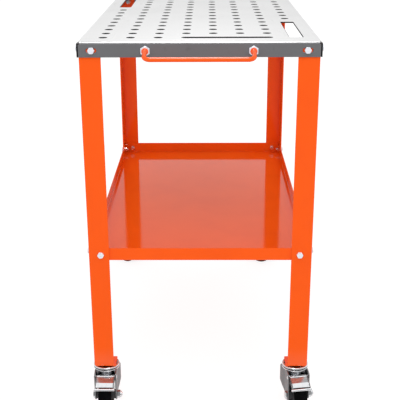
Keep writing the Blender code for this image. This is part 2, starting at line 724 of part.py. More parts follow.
def hub_mesh():
    """The wheel's hub along X: a long barrel between the cheeks, a web and the rim under the tyre."""
    barrel_end = FORK_INNER - SIDE_PLAY
    rim_end = WHEEL_WIDTH / 2
    rim = WHEEL_DIAMETER / 2 - TYRE_DEPTH
    bore = AXLE_DIAMETER / 2 + SEAT_GAP
    barrel = HUB_BARREL / 2
    outside = [
        (-barrel_end, barrel),
        (-HUB_WEB / 2, barrel),
        (-HUB_WEB / 2, rim - HUB_RIM),
        (-rim_end, rim - HUB_RIM),
        (-rim_end, rim),
    ]
    mirrored = [(-x, r) for x, r in outside[::-1]]
    stations = [(x, r, False) for x, r in outside + mirrored + [(barrel_end, bore), (-barrel_end, bore)]]
    shape = bmesh.new()
    turned(shape, stations, HUB_SIDES, crosswise(), ring=True)
    return to_mesh("wheel_hub", shape)


def tyre_mesh():
    """The tread ring along X, with rounded shoulders and a flat of the facets on the floor."""
    outer = WHEEL_DIAMETER / 2
    inner = outer - TYRE_DEPTH + SEAT_GAP
    half = WHEEL_WIDTH / 2
    outside = [
        (-half, inner),
        (-half, outer - 2 * TYRE_SHOULDER),
        (-half + TYRE_SHOULDER_STEP, outer - TYRE_SHOULDER),
        (-half + TYRE_SHOULDER, outer),
    ]
    mirrored = [(-x, r) for x, r in outside[::-1]]
    shape = bmesh.new()
    stations = [(x, r, False) for x, r in outside + mirrored]
    turned(shape, stations, TYRE_SIDES, crosswise(), ring=True, start=math.pi / TYRE_SIDES - math.pi / 2)
    return to_mesh("tyre", shape)


def slope(degrees):
    """The way forward and down a slope, as (Y, Z), and the way up from it."""
    angle = math.radians(degrees)
    return Vector((-math.cos(angle), -math.sin(angle))), Vector((-math.sin(angle), math.cos(angle)))


def pedal_mesh():
    """The brake pedal, about its pivot: a rod, a sloping plate, a steeper tread, a lip and side walls."""
    half = FORK_INNER - PEDAL_SIDE_PLAY
    thick = PEDAL_SHEET / 2
    plate_way, plate_up = slope(PEDAL_PLATE_SLOPE)
    tread_way, tread_up = slope(PEDAL_TREAD_SLOPE)
    back = Vector((0, PEDAL_PIN / 2 - thick))
    bend = back + PEDAL_PLATE_LENGTH * plate_way
    tip = bend + PEDAL_TREAD_LENGTH * tread_way
    bend_up = (plate_up + tread_up) / (1 + plate_up.dot(tread_up))
    middle = ((back, plate_up), (bend, bend_up), (tip, tread_up))
    plate = [point + thick * up for point, up in middle] + [point - thick * up for point, up in middle[::-1]]
    base = bmesh.new()
    prism(base, plate, -half, half, crosswise())
    more = bmesh.new()
    prism(more, round_outline(PEDAL_PIN), -FORK_WIDTH / 2, FORK_WIDTH / 2, crosswise())
    lip = PEDAL_LIP_DIAMETER / 2
    lip_half = PEDAL_LIP_WIDTH / 2
    lip_stations = (
        (-lip_half, lip / 2, False),
        (-lip_half + lip, lip, False),
        (lip_half - lip, lip, False),
        (lip_half, lip / 2, False),
    )
    turned(more, lip_stations, ROD_SIDES, Matrix.Translation((0, *tip)) @ crosswise())
    wall = [(PEDAL_SIDE_BACK, back.y - PEDAL_SIDE_DEPTH), (PEDAL_SIDE_BACK, back.y + thick + PEDAL_SIDE_RISE)]
    wall += [point + (thick + PEDAL_SIDE_RISE) * up for point, up in middle]
    wall += [tip - thick * tread_up, (bend.x, bend.y - PEDAL_SIDE_DEPTH_AT_BEND)]
    for side in (-1, 1):
        low, high = sorted((side * (half - PEDAL_SHEET), side * half))
        prism(more, wall, low, high, crosswise())
    return combined("brake_pedal", to_mesh("pedal_plate", base), to_mesh("pedal_more", more), "UNION")


def make_casters(table, zinc, nylon, rubber):
    """Four casters under the foot plates, each turned as it stands about its stem."""
    stem_nut = to_mesh("stem_nut", hex_nut(STEM_DIAMETER, STEM_NUT_FLATS, STEM_NUT_HEIGHT))
    fixed = {
        "caster_stem": (stem_mesh(), zinc, 0.0),
        "stem_nut": (stem_nut, zinc, FOOT_SHEET + SEAT_GAP),
    }
    swivelling = {"bearing_ring": (bearing_mesh(), zinc), "fork": (fork_mesh(), zinc)}
    on_axle = {
        "axle_bolt": (axle_mesh(), zinc),
        "wheel_hub": (hub_mesh(), nylon),
        "tyre": (tyre_mesh(), rubber),
    }
    pedal = pedal_mesh()
    for corner, (side_x, side_y) in zip(CORNERS, CORNER_SIGNS):
        stem_x = TOP_WIDTH / 2 - LEG_INSET - STEM_INSET
        stem_y = TOP_LENGTH / 2 - LEG_INSET - STEM_SETBACK
        where = (side_x * stem_x, side_y * stem_y, 0)
        turn = math.radians(CASTER_TURNS[corner])
        swivel = guide("swivel_" + corner, table, where, turn)
        axle = guide("axle_" + corner, swivel, (0, -TRAIL, -AXLE_DROP))
        for name, (mesh, finish, height) in fixed.items():
            place(f"{name}_{corner}", mesh, finish, table, (where[0], where[1], height))
        for name, (mesh, finish) in swivelling.items():
            place(f"{name}_{corner}", mesh, finish, swivel)
        for name, (mesh, finish) in on_axle.items():
            place(f"{name}_{corner}", mesh, finish, axle)
        pivot = (0, -PEDAL_PIVOT_REACH, -PEDAL_PIVOT_DROP)
        place("brake_pedal_" + corner, pedal, zinc, swivel, pivot)


def stand_on_origin(table):
    """Moves the whole table so that the origin is on the floor under the middle of its box."""
    bpy.context.view_layer.update()
    corners = []
    for obj in bpy.data.objects:
        if obj.type == "MESH":
            points = np.empty(len(obj.data.vertices) * 3)
            obj.data.vertices.foreach_get("co", points)
            world = np.array(obj.matrix_world)
            points = points.reshape(-1, 3) @ world[:3, :3].T + world[:3, 3]
            corners += [points.min(axis=0), points.max(axis=0)]
    low = np.min(corners, axis=0)
    high = np.max(corners, axis=0)
    middle = (low + high) / 2
    table.location = (-middle[0], -middle[1], -low[2])
    bpy.context.view_layer.update()


def main():
    clear_scene()
    steel = paint("bare_steel_sheet", (0.80, 0.80, 0.80), 0.35, 0.6)
    orange = paint("orange_powder_coat", (1.0, 0.12, 0.014), 0.25, 0.0)
    zinc = paint("zinc_plate", (0.78, 0.79, 0.81), 0.22, 1.0)
    nylon = paint("dark_nylon", (0.035, 0.035, 0.037), 0.5, 0.0)
    rubber = paint("black_rubber", (0.012, 0.012, 0.013), 0.6, 0.0)
    table = guide("table", None)
    make_top(table, steel)
    make_legs(table, orange, zinc)
    make_shelf(table, orange)
    make_handle(table, orange, zinc)
    make_casters(table, zinc, nylon, rubber)
    stand_on_origin(table)


main()
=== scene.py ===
"""Dresses the packed frame of a mobile welding table: a perforated steel top on orange angle legs,
with a tray shelf, a push handle and four chromed casters. Sizes are in metres, in the frame's axes."""

import json
import math

import bmesh
import bpy
from bpy.props import FloatProperty, FloatVectorProperty, PointerProperty
from mathutils import Matrix, Vector


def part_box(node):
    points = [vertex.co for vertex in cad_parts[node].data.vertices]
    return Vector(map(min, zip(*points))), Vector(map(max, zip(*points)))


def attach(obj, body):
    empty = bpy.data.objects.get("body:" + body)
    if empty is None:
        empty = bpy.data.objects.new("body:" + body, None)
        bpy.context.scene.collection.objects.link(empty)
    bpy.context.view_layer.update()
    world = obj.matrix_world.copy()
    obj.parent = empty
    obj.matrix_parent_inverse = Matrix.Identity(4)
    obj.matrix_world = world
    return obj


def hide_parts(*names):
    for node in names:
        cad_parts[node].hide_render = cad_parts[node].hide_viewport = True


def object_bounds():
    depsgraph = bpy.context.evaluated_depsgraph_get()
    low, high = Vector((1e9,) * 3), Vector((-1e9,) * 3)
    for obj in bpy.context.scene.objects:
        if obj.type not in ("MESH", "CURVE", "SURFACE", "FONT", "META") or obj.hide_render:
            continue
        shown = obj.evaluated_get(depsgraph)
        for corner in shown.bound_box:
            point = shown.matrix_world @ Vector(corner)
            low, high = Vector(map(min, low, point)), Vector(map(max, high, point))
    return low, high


bl_info = {
    "name": "Mobile welding table",
    "version": (1, 0, 0),
    "blender": (4, 5, 0),
    "location": "3D View > Sidebar > Welding table",
    "description": "Builds the looks of a mobile welding table around its packed frame",
    "category": "Object",
}

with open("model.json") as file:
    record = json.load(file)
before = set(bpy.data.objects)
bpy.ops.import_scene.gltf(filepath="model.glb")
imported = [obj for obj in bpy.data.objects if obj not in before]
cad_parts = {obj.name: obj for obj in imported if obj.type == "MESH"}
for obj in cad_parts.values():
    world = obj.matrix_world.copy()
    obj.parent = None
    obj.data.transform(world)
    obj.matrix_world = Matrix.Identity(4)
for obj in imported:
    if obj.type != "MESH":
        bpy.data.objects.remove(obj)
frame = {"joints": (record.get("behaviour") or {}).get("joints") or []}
CAD_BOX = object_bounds()
JOINTS = {joint["name"]: joint for joint in frame["joints"]}

# The corners of the table, each with its side along X and along Y
CORNERS = {"front_left": (-1, -1), "front_right": (1, -1), "rear_right": (1, 1), "rear_left": (-1, 1)}
TOP_LOW, TOP_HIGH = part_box("table_top")
SHELF_LOW, SHELF_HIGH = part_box("lower_shelf")
FOOT_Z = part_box("leg_front_left")[0].z
LEG_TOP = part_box("leg_front_left")[1].z
UP = Vector((0, 0, 1))

# The middle of the work surface
SURFACE = (TOP_LOW + TOP_HIGH) / 2
SURFACE.z = TOP_HIGH.z

# Turns the axis of a turned or flat shape along X
AXLE_TURN = Matrix(((0, 0, 1, 0), (1, 0, 0, 0), (0, 1, 0, 0), (0, 0, 0, 1)))

# Facets of round shapes and the angles above which an edge stays sharp or is softened
ROUND_SIDES = 48
FINE_SIDES = 32
BEAD_SIDES = 12
EDGE_STEPS = 3
FILLET_STEPS = 6
FLARE_STEPS = 6
ROUND_END_STEPS = 8
BEND_STEPS = 10
SHARP_ANGLE = math.radians(32)
SOFTENED_ANGLE = math.radians(60)

# The gap between touching pieces, softened edges, and the radius that ends a turned shape on its axis
GAP = 0.0003
SOFT_EDGE = 0.0006
SLIGHT_EDGE = 0.0004
TIP = 0.0001

# Points nearer than this are one, and a corner this near to a straight line needs no arc
SAME_POINT = 1e-6
STRAIGHT = 0.01


def length(name, description, default):
    return FloatProperty(
        name=name, description=description, default=default, min=0.0, unit="LENGTH", precision=4
    )


def angle(name, description, degrees):
    return FloatProperty(name=name, description=description, default=math.radians(degrees), subtype="ANGLE")


def colour(name, description, default):
    return FloatVectorProperty(
        name=name, description=description, default=default, size=3, min=0.0, max=1.0, subtype="COLOR"
    )


class WorktopSettings(bpy.types.PropertyGroup):
    """The folded sheet of the top."""

    sheet: length("Sheet", "Thickness of the sheet", 0.003)
    bend: length("Bend", "Outer radius of the folded edges", 0.0055)
    slit: length("Corner slit", "Gap between the flanges at each corner", 0.0006)
    hole: length("Hole", "Diameter of the fixture holes", 0.016)
    pitch: length("Pitch", "Distance between fixture holes", 0.060)
    margin: length("Margin", "Least distance from an edge to a hole's centre", 0.045)
    tool_slot: length("Tool slot", "Width of the tool slots", 0.029)
    tool_slot_corner: length("Tool slot corner", "Corner radius of the tool slots", 0.003)
    bolt_slot: length("Bolt slot", "Length of the flanges' bolt slots", 0.023)
    bolt_slot_width: length("Bolt slot width", "Width of the flanges' bolt slots", 0.0092)
    break_edge: length("Broken edge", "Chamfer on the edges of the sheet", 0.0003)
    hole_lead: length("Hole lead", "Chamfer on the holes and slots of the work surface", 0.0016)
    steel: colour("Steel", "Colour of the plated sheet", (0.82, 0.82, 0.82))
    # The flanges' grey is partly a duller finish and partly painted shade
    flange: colour("Flange", "Colour of the folded flanges", (0.175, 0.175, 0.182))
    # The cut edges' near-black colour is painted shade
    shaded_cut_steel: colour("Cut steel", "Colour of the bare cut edges", (0.008, 0.008, 0.009))


class FrameSettings(bpy.types.PropertyGroup):
    """Legs and shelf."""

    leg_width: length("Leg width", "Width of each limb of a leg", 0.047)
    leg_sheet: length("Leg sheet", "Thickness of a leg", 0.003)
    leg_corner: length("Leg corner", "Outer radius of a leg's fold", 0.0025)
    foot_width: length("Foot width", "Size of a foot plate across the table", 0.051)
    foot_depth: length("Foot depth", "Size of a foot plate along the table", 0.0405)
    foot_sheet: length("Foot sheet", "Thickness of a foot plate", 0.004)
    foot_inset: length("Foot inset", "How far a foot plate lies inside the leg's faces", 0.001)
    foot_corner: length("Foot corner", "Corner radius of a foot plate", 0.003)
    weld: length("Weld", "Radius of the weld beads", 0.0018)
    shelf_sheet: length("Shelf sheet", "Thickness of the shelf", 0.002)
    shelf_bend: length("Shelf bend", "Outer radius of the shelf's folds", 0.003)
    coat: colour("Coat", "Colour of the powder coat", (1.0, 0.110, 0.0055))


class HandleSettings(bpy.types.PropertyGroup):
    """The push handle."""

    rod: length("Rod", "Diameter of the rod", 0.010)
    span: length("Span", "Distance between the rod's ends", 0.229)
    reach: length("Reach", "How far the bar stands out from the flange", 0.050)
    drop: length("Drop", "Depth of the rod's ends under the work surface", 0.0185)
    droop: length("Droop", "How far the bar hangs under the rod's ends", 0.0098)
    bend: length("Bend", "Radius of the bar's corners", 0.013)
    elbow: length("Elbow", "Radius of the bends beside the nuts", 0.012)
    collar: length("Collar", "Diameter of the collars", 0.0145)
    collar_length: length("Collar length", "Length of a collar", 0.003)
    nut_flats: length("Nut flats", "Width of the nuts across their flats", 0.019)
    nut_height: length("Nut height", "Height of the nuts", 0.008)
    tail: length("Tail", "Thread that stands past the inner nuts", 0.004)


class BoltSettings(bpy.types.PropertyGroup):
    """Bolts of the frame."""

    diameter: length("Diameter", "Diameter of the thread", 0.008)
    flats: length("Flats", "Width of head and nut across their flats", 0.013)
    head: length("Head", "Height of the head", 0.0053)
    nut: length("Nut", "Height of the nut", 0.0065)
    tail: length("Tail", "Thread that stands past the nut", 0.003)
    thread: length("Thread", "Pitch of the thread", 0.00125)
    zinc: colour("Zinc", "Colour of the plated bolts and nuts", (0.93, 0.96, 1.0))


class CasterSettings(bpy.types.PropertyGroup):
    """The casters, measured from the underside of a foot plate."""

    stem: length("Stem", "Diameter of the threaded stem", 0.012)
    stem_thread: length("Stem thread", "Pitch of the stem's thread", 0.00175)
    stem_nut: length("Stem nut", "Width of the stem's nut across its flats", 0.019)
    stem_nut_height: length("Stem nut height", "Height of the stem's nut", 0.010)
    bowl: length("Bowl", "Diameter of the bowl", 0.063)
    bowl_depth: length("Bowl depth", "Depth of the bowl's lower edge", 0.0056)
    bowl_drop: length("Bowl drop", "Depth of the top of the bowl's rim", 0.0003)
    bowl_seat: length("Bowl seat", "Diameter of the bowl's raised middle under the foot plate", 0.024)
    king_pin: length("King pin", "Diameter of the king pin", 0.014)
    rivet: length("Rivet", "Diameter of the king pin's riveted end", 0.028)
    rivet_height: length("Rivet height", "Height of the king pin's riveted end", 0.0035)
    ball: length("Ball", "Diameter of the bearing's balls", 0.0011)
    crown_top: length("Crown top", "Depth of the fork's upper face", 0.0074)
    crown_height: length("Crown height", "Height of the fork's dished crown", 0.0156)
    crown_foot: length("Crown foot", "Diameter of the dish at its lower end", 0.033)
    bridge_front: length("Bridge front", "Reach of the plate under the crown in front of the stem", 0.0295)
    bridge_back: length("Bridge back", "Reach of the plate under the crown behind the stem", 0.012)
    fork_sheet: length("Fork sheet", "Thickness of the fork", 0.003)
    fork_width: length("Fork width", "Width over both cheeks at the axle", 0.053)
    cheek_front: length("Cheek front", "How far the cheeks reach in front of the stem", 0.040)
    cheek_back: length("Cheek back", "How far the cheeks reach behind the stem", 0.018)
    cheek_drop: length("Cheek drop", "Depth down to which a cheek keeps its full length", 0.055)
    cheek_end: length("Cheek end", "Radius of a cheek's round end at the axle", 0.013)
    cheek_bend: length("Cheek bend", "Where the cheeks begin to flare, in front of the stem", 0.016)
    cheek_flare: length("Cheek flare", "How far each cheek spreads at its back", 0.0055)
    axle_drop: length("Axle drop", "Depth of the axle", 0.0711)
    trail: length("Trail", "How far the axle lies beside the stem", 0.030)
    axle: length("Axle", "Diameter of the axle bolt", 0.010)
    axle_thread: length("Axle thread", "Pitch of the axle bolt's thread", 0.0015)
    axle_flats: length("Axle flats", "Width of the axle's head and nut across their flats", 0.017)
    wheel: length("Wheel", "Diameter of the wheel", 0.075)
    wheel_width: length("Wheel width", "Width of the wheel", 0.032)
    tread: length("Tread", "Depth of the tread", 0.009)
    shoulder: length("Shoulder", "Radius of the tread's shoulders", 0.0035)
    pedal_sheet: length("Pedal sheet", "Thickness of the pedal", 0.0025)
    pedal_pin: length("Pedal rod", "Diameter of the pedal's cross rod", 0.005)
    pivot_reach: length("Pivot reach", "How far the cross rod lies in front of the stem", 0.034)
    pivot_drop: length("Pivot drop", "Depth of the cross rod", 0.0216)
    pedal_plate: length("Pedal plate", "Length of the pedal's upper plate", 0.0205)
    plate_slope: angle("Plate slope", "Fall of the upper plate", 22.0)
    pedal_tread: length("Pedal tread", "Length of the pedal's tread", 0.0165)
    tread_slope: angle("Tread slope", "Fall of the tread", 35.0)
    pedal_rise: length("Pedal rise", "How far the pedal's side walls stand over its plate", 0.0015)
    pedal_lip: length("Pedal lip", "Diameter of the pedal's rolled lip", 0.006)
    lip_slit: length("Lip slit", "Gap between the pedal's tread and its rolled lip", 0.0026)
    lip_width: length("Lip width", "Width of the pedal's rolled lip", 0.049)
    chrome: colour("Chrome", "Colour of the plated fork, bowl and pedal", (0.86, 0.87, 0.89))
    rubber: colour("Rubber", "Colour of the tread", (0.0025, 0.0025, 0.0028))
    nylon: colour("Nylon", "Colour of the hub", (0.045, 0.045, 0.048))


class StageSettings(bpy.types.PropertyGroup):
    """Floor, light and camera."""

    floor: colour("Floor", "Colour of the floor", (0.80, 0.80, 0.80))
    lens: FloatProperty(name="Lens", description="Focal length in millimetres", default=75.8)
    pitch: angle("Pitch", "Tilt of the camera below level", 19.72)
    yaw: angle("Yaw", "Turn of the camera to the right", -0.51)
    roll: angle("Roll", "Turn of the picture", 0.23)
    stand: FloatVectorProperty(
        name="Stand",
        description="The camera's place from the middle of the work surface",
        default=(0.0159, -2.2276, 0.2843),
        subtype="TRANSLATION",
    )


SETTINGS = {
    "welding_table_top": WorktopSettings,
    "welding_table_frame": FrameSettings,
    "welding_table_handle": HandleSettings,
    "welding_table_bolts": BoltSettings,
    "welding_table_casters": CasterSettings,
    "welding_table_stage": StageSettings,
}


# Outlines and paths


def polar(radius, way):
    return Vector((radius * math.cos(way), radius * math.sin(way)))


def quarter_turn(steps):
    return [math.pi / 2 * step / steps for step in range(steps + 1)]


def turned(degrees, axis):
    return Matrix.Rotation(math.radians(degrees), 4, axis)


def rounded_rectangle(long, wide, radius, steps):
    """Outline, counterclockwise, with the long side along X and a quarter circle at each corner."""
    points = []
    for quarter, (side_x, side_y) in enumerate(((1, 1), (-1, 1), (-1, -1), (1, -1))):
        centre = Vector((side_x * (long / 2 - radius), side_y * (wide / 2 - radius)))
        for way in quarter_turn(steps):
            point = centre + polar(radius, way + quarter * math.pi / 2)
            if not points or (point - points[-1]).length > SAME_POINT:
                points.append(point)
    if (points[0] - points[-1]).length < SAME_POINT:
        points.pop()
    return points


def circle(radius, sides):
    return [polar(radius, math.tau * side / sides) for side in range(sides)]


def offset(outline, by):
    """The counterclockwise outline moved outwards, or inwards by a minus number, with mitred corners."""
    moved = []
    for i, here in enumerate(outline):
        come = (here - outline[i - 1]).normalized()
        leave = (outline[(i + 1) % len(outline)] - here).normalized()
        mitre = Vector((come.y + leave.y, -come.x - leave.x))
        moved.append(here + mitre * (2 * by / mitre.length_squared))
    return moved


def filleted(points, radius, closed=False, steps=FILLET_STEPS):
    """A line with an arc at each corner, of this radius or what the corner has room for."""
    arc_share = 0.48
    points = [Vector(point) for point in points]
    count = len(points)
    path = []
    for i, corner in enumerate(points):
        if not closed and i in (0, count - 1):
            path.append(corner)
            continue
        before = points[i - 1] - corner
        after = points[(i + 1) % count] - corner
        half = before.angle(after) / 2
        if half > math.pi / 2 - STRAIGHT:
            path.append(corner)
            continue
        reach = min(radius / math.tan(half), arc_share * min(before.length, after.length))
        arc = reach * math.tan(half)
        middle = (before.normalized() + after.normalized()).normalized()
        centre = corner + middle * (arc / math.sin(half))
        start = corner + before.normalized() * reach - centre
        end = corner + after.normalized() * reach - centre
        swing = start.angle(end)
        for step in range(steps + 1):
            share = step / steps
            weights = math.sin((1 - share) * swing), math.sin(share * swing)
            path.append(centre + (start * weights[0] + end * weights[1]) / math.sin(swing))
    return path


# Meshes


def skin(shape, rings, turn=Matrix(), closed=False, finish=0):
    """Joins rings of points into one surface, capped at each end or closed from the last to the first."""
    loops = [[shape.verts.new(turn @ Vector(point)) for point in ring] for ring in rings]
    pairs = list(zip(loops, loops[1:]))
    faces = []
    if closed:
        pairs.append((loops[-1], loops[0]))
    else:
        faces += [shape.faces.new(loops[0][::-1]), shape.faces.new(loops[-1])]
    for lower, upper in pairs:
        for i in range(len(lower)):
            j = (i + 1) % len(lower)
            faces.append(shape.faces.new((lower[i], lower[j], upper[j], upper[i])))
    for face in faces:
        face.material_index = finish


def slab(shape, outline, low, high, edge, turn=Matrix(), finish=0):
    """A plate on an outline, from low to high along Z, with rounded edges."""
    rings = []
    for way in quarter_turn(EDGE_STEPS):
        inset = offset(outline, -edge * (1 - math.sin(way)))
        rings.append((inset, edge * (1 - math.cos(way))))
    lower = [[(x, y, low + lift) for x, y in ring] for ring, lift in rings]
    upper = [[(x, y, high - lift) for x, y in ring] for ring, lift in rings[::-1]]
    skin(shape, lower + upper, turn, finish=finish)


def paired_slabs(shape, outline, near, far, edge, turn, finish=0):
    """Two like plates, each from near to far on its side of the middle."""
    for side in (-1, 1):
        low, high = sorted((side * near, side * far))
        slab(shape, outline, low, high, edge, turn, finish)


def lathe(shape, profile, turn=Matrix(), ring=False, sides=ROUND_SIDES, finish=0):
    """Turns a profile of (radius, height) about Z. With ring set the profile is a closed line."""
    rings = [[(*point, height) for point in circle(radius, sides)] for radius, height in profile]
    skin(shape, rings, turn, ring, finish)


def sweep(shape, path, section, aim, finish=0):
    """Carries a closed section along a path, its first axis kept as near to aim as the path lets it."""
    rings = []
    for i, point in enumerate(path):
        forward = (path[min(i + 1, len(path) - 1)] - path[max(i - 1, 0)]).normalized()
        aim = (aim - forward * aim.dot(forward)).normalized()
        side = forward.cross(aim)
        rings.append([point + aim * u + side * v for u, v in section])
    skin(shape, rings, finish=finish)


def hexagon(shape, flats, low, high, turn=Matrix(), bore=0.0, both=True, finish=0):
    """A hexagonal head or nut along Z, its corners chamfered by a cone at the upper end or at both."""
    face_share, lead_share = 0.47, 1.1
    face = face_share * flats
    slope = math.tan(math.radians(60))
    depth = (flats / math.sqrt(3) - face) / slope
    shares = [step / FILLET_STEPS for step in range(FILLET_STEPS + 1)]
    cones = [(depth * share, face + depth * share * slope) for share in shares]
    stations = [(low + rise, cone) for rise, cone in cones] if both else [(low, flats)]
    stations += [(high - rise, cone) for rise, cone in cones[::-1]]
    ways = [math.tau * side / ROUND_SIDES for side in range(ROUND_SIDES)]
    reaches = [flats / 2 / math.cos(way % (math.pi / 3) - math.pi / 6) for way in ways]
    rings = []
    for height, cone in stations:
        rings.append([(*polar(min(cone, reach), way), height) for reach, way in zip(reaches, ways)])
    if bore:
        lead = bore / 2 * lead_share
        for radius, height in ((lead, high), (bore / 2, high - depth), (bore / 2, low + depth), (lead, low)):
            rings.append([(*point, height) for point in circle(radius, ROUND_SIDES)])
    skin(shape, rings, turn, bool(bore), finish)


def thread(shape, diameter, low, high, pitch, turn=Matrix(), finish=0):
    """A threaded rod along Z, its end chamfered, with a ridge for each pitch."""
    crest = (0.45, 0.60)
    outer = diameter / 2
    root = outer - pitch / 2
    count = max(2, round((high - low) / pitch))
    step = (high - low) / count
    profile = [(root, low)]
    for ridge in range(count):
        base = low + step * ridge
        profile += [(outer, base + share * step) for share in crest] + [(root, base + step)]
    profile[-2] = (root, profile[-2][1])
    lathe(shape, profile, turn, sides=FINE_SIDES, finish=finish)


def smoothed(mesh):
    """The mesh, smooth on its round stretches."""
    mesh.shade_smooth()
    mesh.set_sharp_from_angle(angle=SHARP_ANGLE)
    return mesh


def plain_mesh(name, shape):
    mesh = bpy.data.meshes.new(name)
    shape.to_mesh(mesh)
    shape.free()
    return mesh


def to_mesh(name, shape):
    """The shape as a mesh with its faces outwards."""
    bmesh.ops.recalc_face_normals(shape, faces=shape.faces)
    return smoothed(plain_mesh(name, shape))


def modelled(name, mesh, *modifiers):
    """The mesh that a list of modifiers, each a kind and its settings, makes of another."""
    holder = bpy.data.objects.new(name, mesh)
    bpy.context.scene.collection.objects.link(holder)
    for kind, settings in modifiers:
        modifier = holder.modifiers.new(kind, kind)
        for key, value in settings.items():
            setattr(modifier, key, value)
    graph = bpy.context.evaluated_depsgraph_get()
    made = bpy.data.meshes.new_from_object(holder.evaluated_get(graph))
    bpy.data.objects.remove(holder)
    made.name = name
    return smoothed(made)


def folded_sheet(name, wide, long, depth, sheet, bend, slit, fold, edge):
    """A flat sheet, its outer face at z = 0, with its four edges folded over: fold is -1 for down, 1 for up.

    The side flanges run the whole length. The end flanges lie between them, past a slit at each corner.
    """
    flat_x = wide / 2 - bend
    flat_y = long / 2 - bend
    bend_x = flat_x - slit
    flange_x = wide / 2 - sheet - slit
    curve = [(bend * math.sin(way), bend * (1 - math.cos(way))) for way in quarter_turn(FILLET_STEPS)]
    shell = bmesh.new()
    known = {}

    def face(*points):
        corners = []
        for x, y, drop in points:
            key = (round(x, 6), round(y, 6), round(drop, 6))
            if key not in known:
                known[key] = shell.verts.new((x, y, fold * drop))
            corners.append(known[key])
        return shell.faces.new(corners)

    front = [(x, -flat_y, 0.0) for x in (-flat_x, -bend_x, bend_x, flat_x)]
    flat = face(*front, *[(-x, -y, z) for x, y, z in front])
    for side in (-1, 1):
        profile = [(side * (flat_x + out), drop) for out, drop in curve] + [(side * wide / 2, depth)]
        for (x0, z0), (x1, z1) in zip(profile, profile[1:]):
            for y0, y1 in ((-long / 2, -flat_y), (-flat_y, flat_y), (flat_y, long / 2)):
                face((x0, y0, z0), (x1, y0, z1), (x1, y1, z1), (x0, y1, z0))
        profile = [(side * (flat_y + out), drop) for out, drop in curve]
        for (y0, z0), (y1, z1) in zip(profile, profile[1:]):
            face((-bend_x, y0, z0), (bend_x, y0, z0), (bend_x, y1, z1), (-bend_x, y1, z1))
        end = side * long / 2
        upper = [(x, end, bend) for x in (-flange_x, -bend_x, bend_x, flange_x)]
        face(*upper, (flange_x, end, depth), (-flange_x, end, depth))
    bmesh.ops.recalc_face_normals(shell, faces=shell.faces)
    if flat.normal.z * fold > 0:
        bmesh.ops.reverse_faces(shell, faces=shell.faces)
    thicken = {"thickness": sheet, "offset": -1.0, "use_even_offset": True}
    soften = {"width": edge, "segments": 2, "limit_method": "ANGLE", "angle_limit": SOFTENED_ANGLE}
    return modelled(name, plain_mesh(name + "_shell", shell), ("SOLIDIFY", thicken), ("BEVEL", soften))


def add_piece(name, mesh, finishes, body, node, place=Matrix()):
    """A named piece that rides on a body and stands for a CAD node."""
    if not mesh.materials:
        for finish in finishes:
            mesh.materials.append(finish)
    piece = bpy.data.objects.new(name, mesh)
    bpy.context.scene.collection.objects.link(piece)
    piece.matrix_world = place
    shading = piece.modifiers.new("even_shading", "WEIGHTED_NORMAL")
    shading.keep_sharp = True
    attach(piece, body)
    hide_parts(node)


# Finishes


class Shade:
    """A socket of a node tree. Sums of values in Python add its Math nodes."""

    def __init__(self, tree, socket=None):
        self.tree = tree
        self.socket = socket

    def fill(self, node, inputs):
        """Sets or links the sockets of a node."""
        for key, value in inputs.items():
            if isinstance(value, Shade):
                self.tree.links.new(value.socket, node.inputs[key])
            else:
                node.inputs[key].default_value = value

    def node(self, kind, settings=None, inputs=None, output=0):
        """A node of any kind: its settings first, then the values or links of its sockets."""
        made = self.tree.nodes.new(kind)
        for key, value in (settings or {}).items():
            setattr(made, key, value)
        self.fill(made, inputs or {})
        return Shade(self.tree, made.outputs[output] if made.outputs else None)

    def math(self, operation, first, second):
        return self.node("ShaderNodeMath", {"operation": operation}, {0: first, 1: second})

    def __add__(self, other):
        return self.math("ADD", self, other)

    __radd__ = __add__

    def __sub__(self, other):
        return self.math("SUBTRACT", self, other)

    def __rsub__(self, other):
        return self.math("SUBTRACT", other, self)

    def __mul__(self, other):
        return self.math("MULTIPLY", self, other)

    __rmul__ = __mul__

    def smooth(self, low, high):
        """0 below low, 1 above high and a soft step between them."""
        values = {"Value": self, "From Min": low, "From Max": high}
        return self.node("ShaderNodeMapRange", {"interpolation_type": "SMOOTHSTEP"}, values)

    def blend(self, first, second):
        """The first colour where this value is 0 and the second where it is 1."""
        tints = {0: self, 6: four(first), 7: four(second)}
        return self.node("ShaderNodeMix", {"data_type": "RGBA"}, tints, 2)

    def along(self, axis, space="Object"):
        """One part of the place on the surface, in its own axes, or of another kind of coordinate."""
        place = self.node("ShaderNodeTexCoord", output=space)
        return self.node("ShaderNodeSeparateXYZ", None, {"Vector": place}, axis)

    def noise(self, scale, detail=3.0, stretch=(1, 1, 1)):
        """Noise over the surface, at this many waves a metre, drawn out along an axis of less stretch."""
        place = self.node("ShaderNodeTexCoord", output="Object")
        drawn = self.node("ShaderNodeVectorMath", {"operation": "MULTIPLY"}, {0: place, 1: stretch})
        values = {"Vector": drawn, "Scale": scale, "Detail": detail}
        return self.node("ShaderNodeTexNoise", None, values, "Fac")

    def bump(self, height, depth):
        """A normal from a height of 0 to 1, as deep as depth in metres."""
        return self.node("ShaderNodeBump", None, {"Height": height, "Distance": depth, "Strength": 1.0})


def four(tint):
    return tint if isinstance(tint, Shade) else (*tint, 1.0)


def scaled(tint, *by):
    """A colour times one number, or times one number for each of its parts."""
    shares = by if len(by) == len(tint) else by * len(tint)
    return tuple(min(1.0, part * share) for part, share in zip(tint, shares))


def made_once(describe):
    """Makes a function that lists a finish's Principled sockets give the finish itself, made at first use."""

    def finish():
        made = bpy.data.materials.get(describe.__name__)
        if made is None:
            made = bpy.data.materials.new(describe.__name__)
            made.use_nodes = True
            start = Shade(made.node_tree)
            start.fill(made.node_tree.nodes["Principled BSDF"], describe(start))
        return made

    return finish


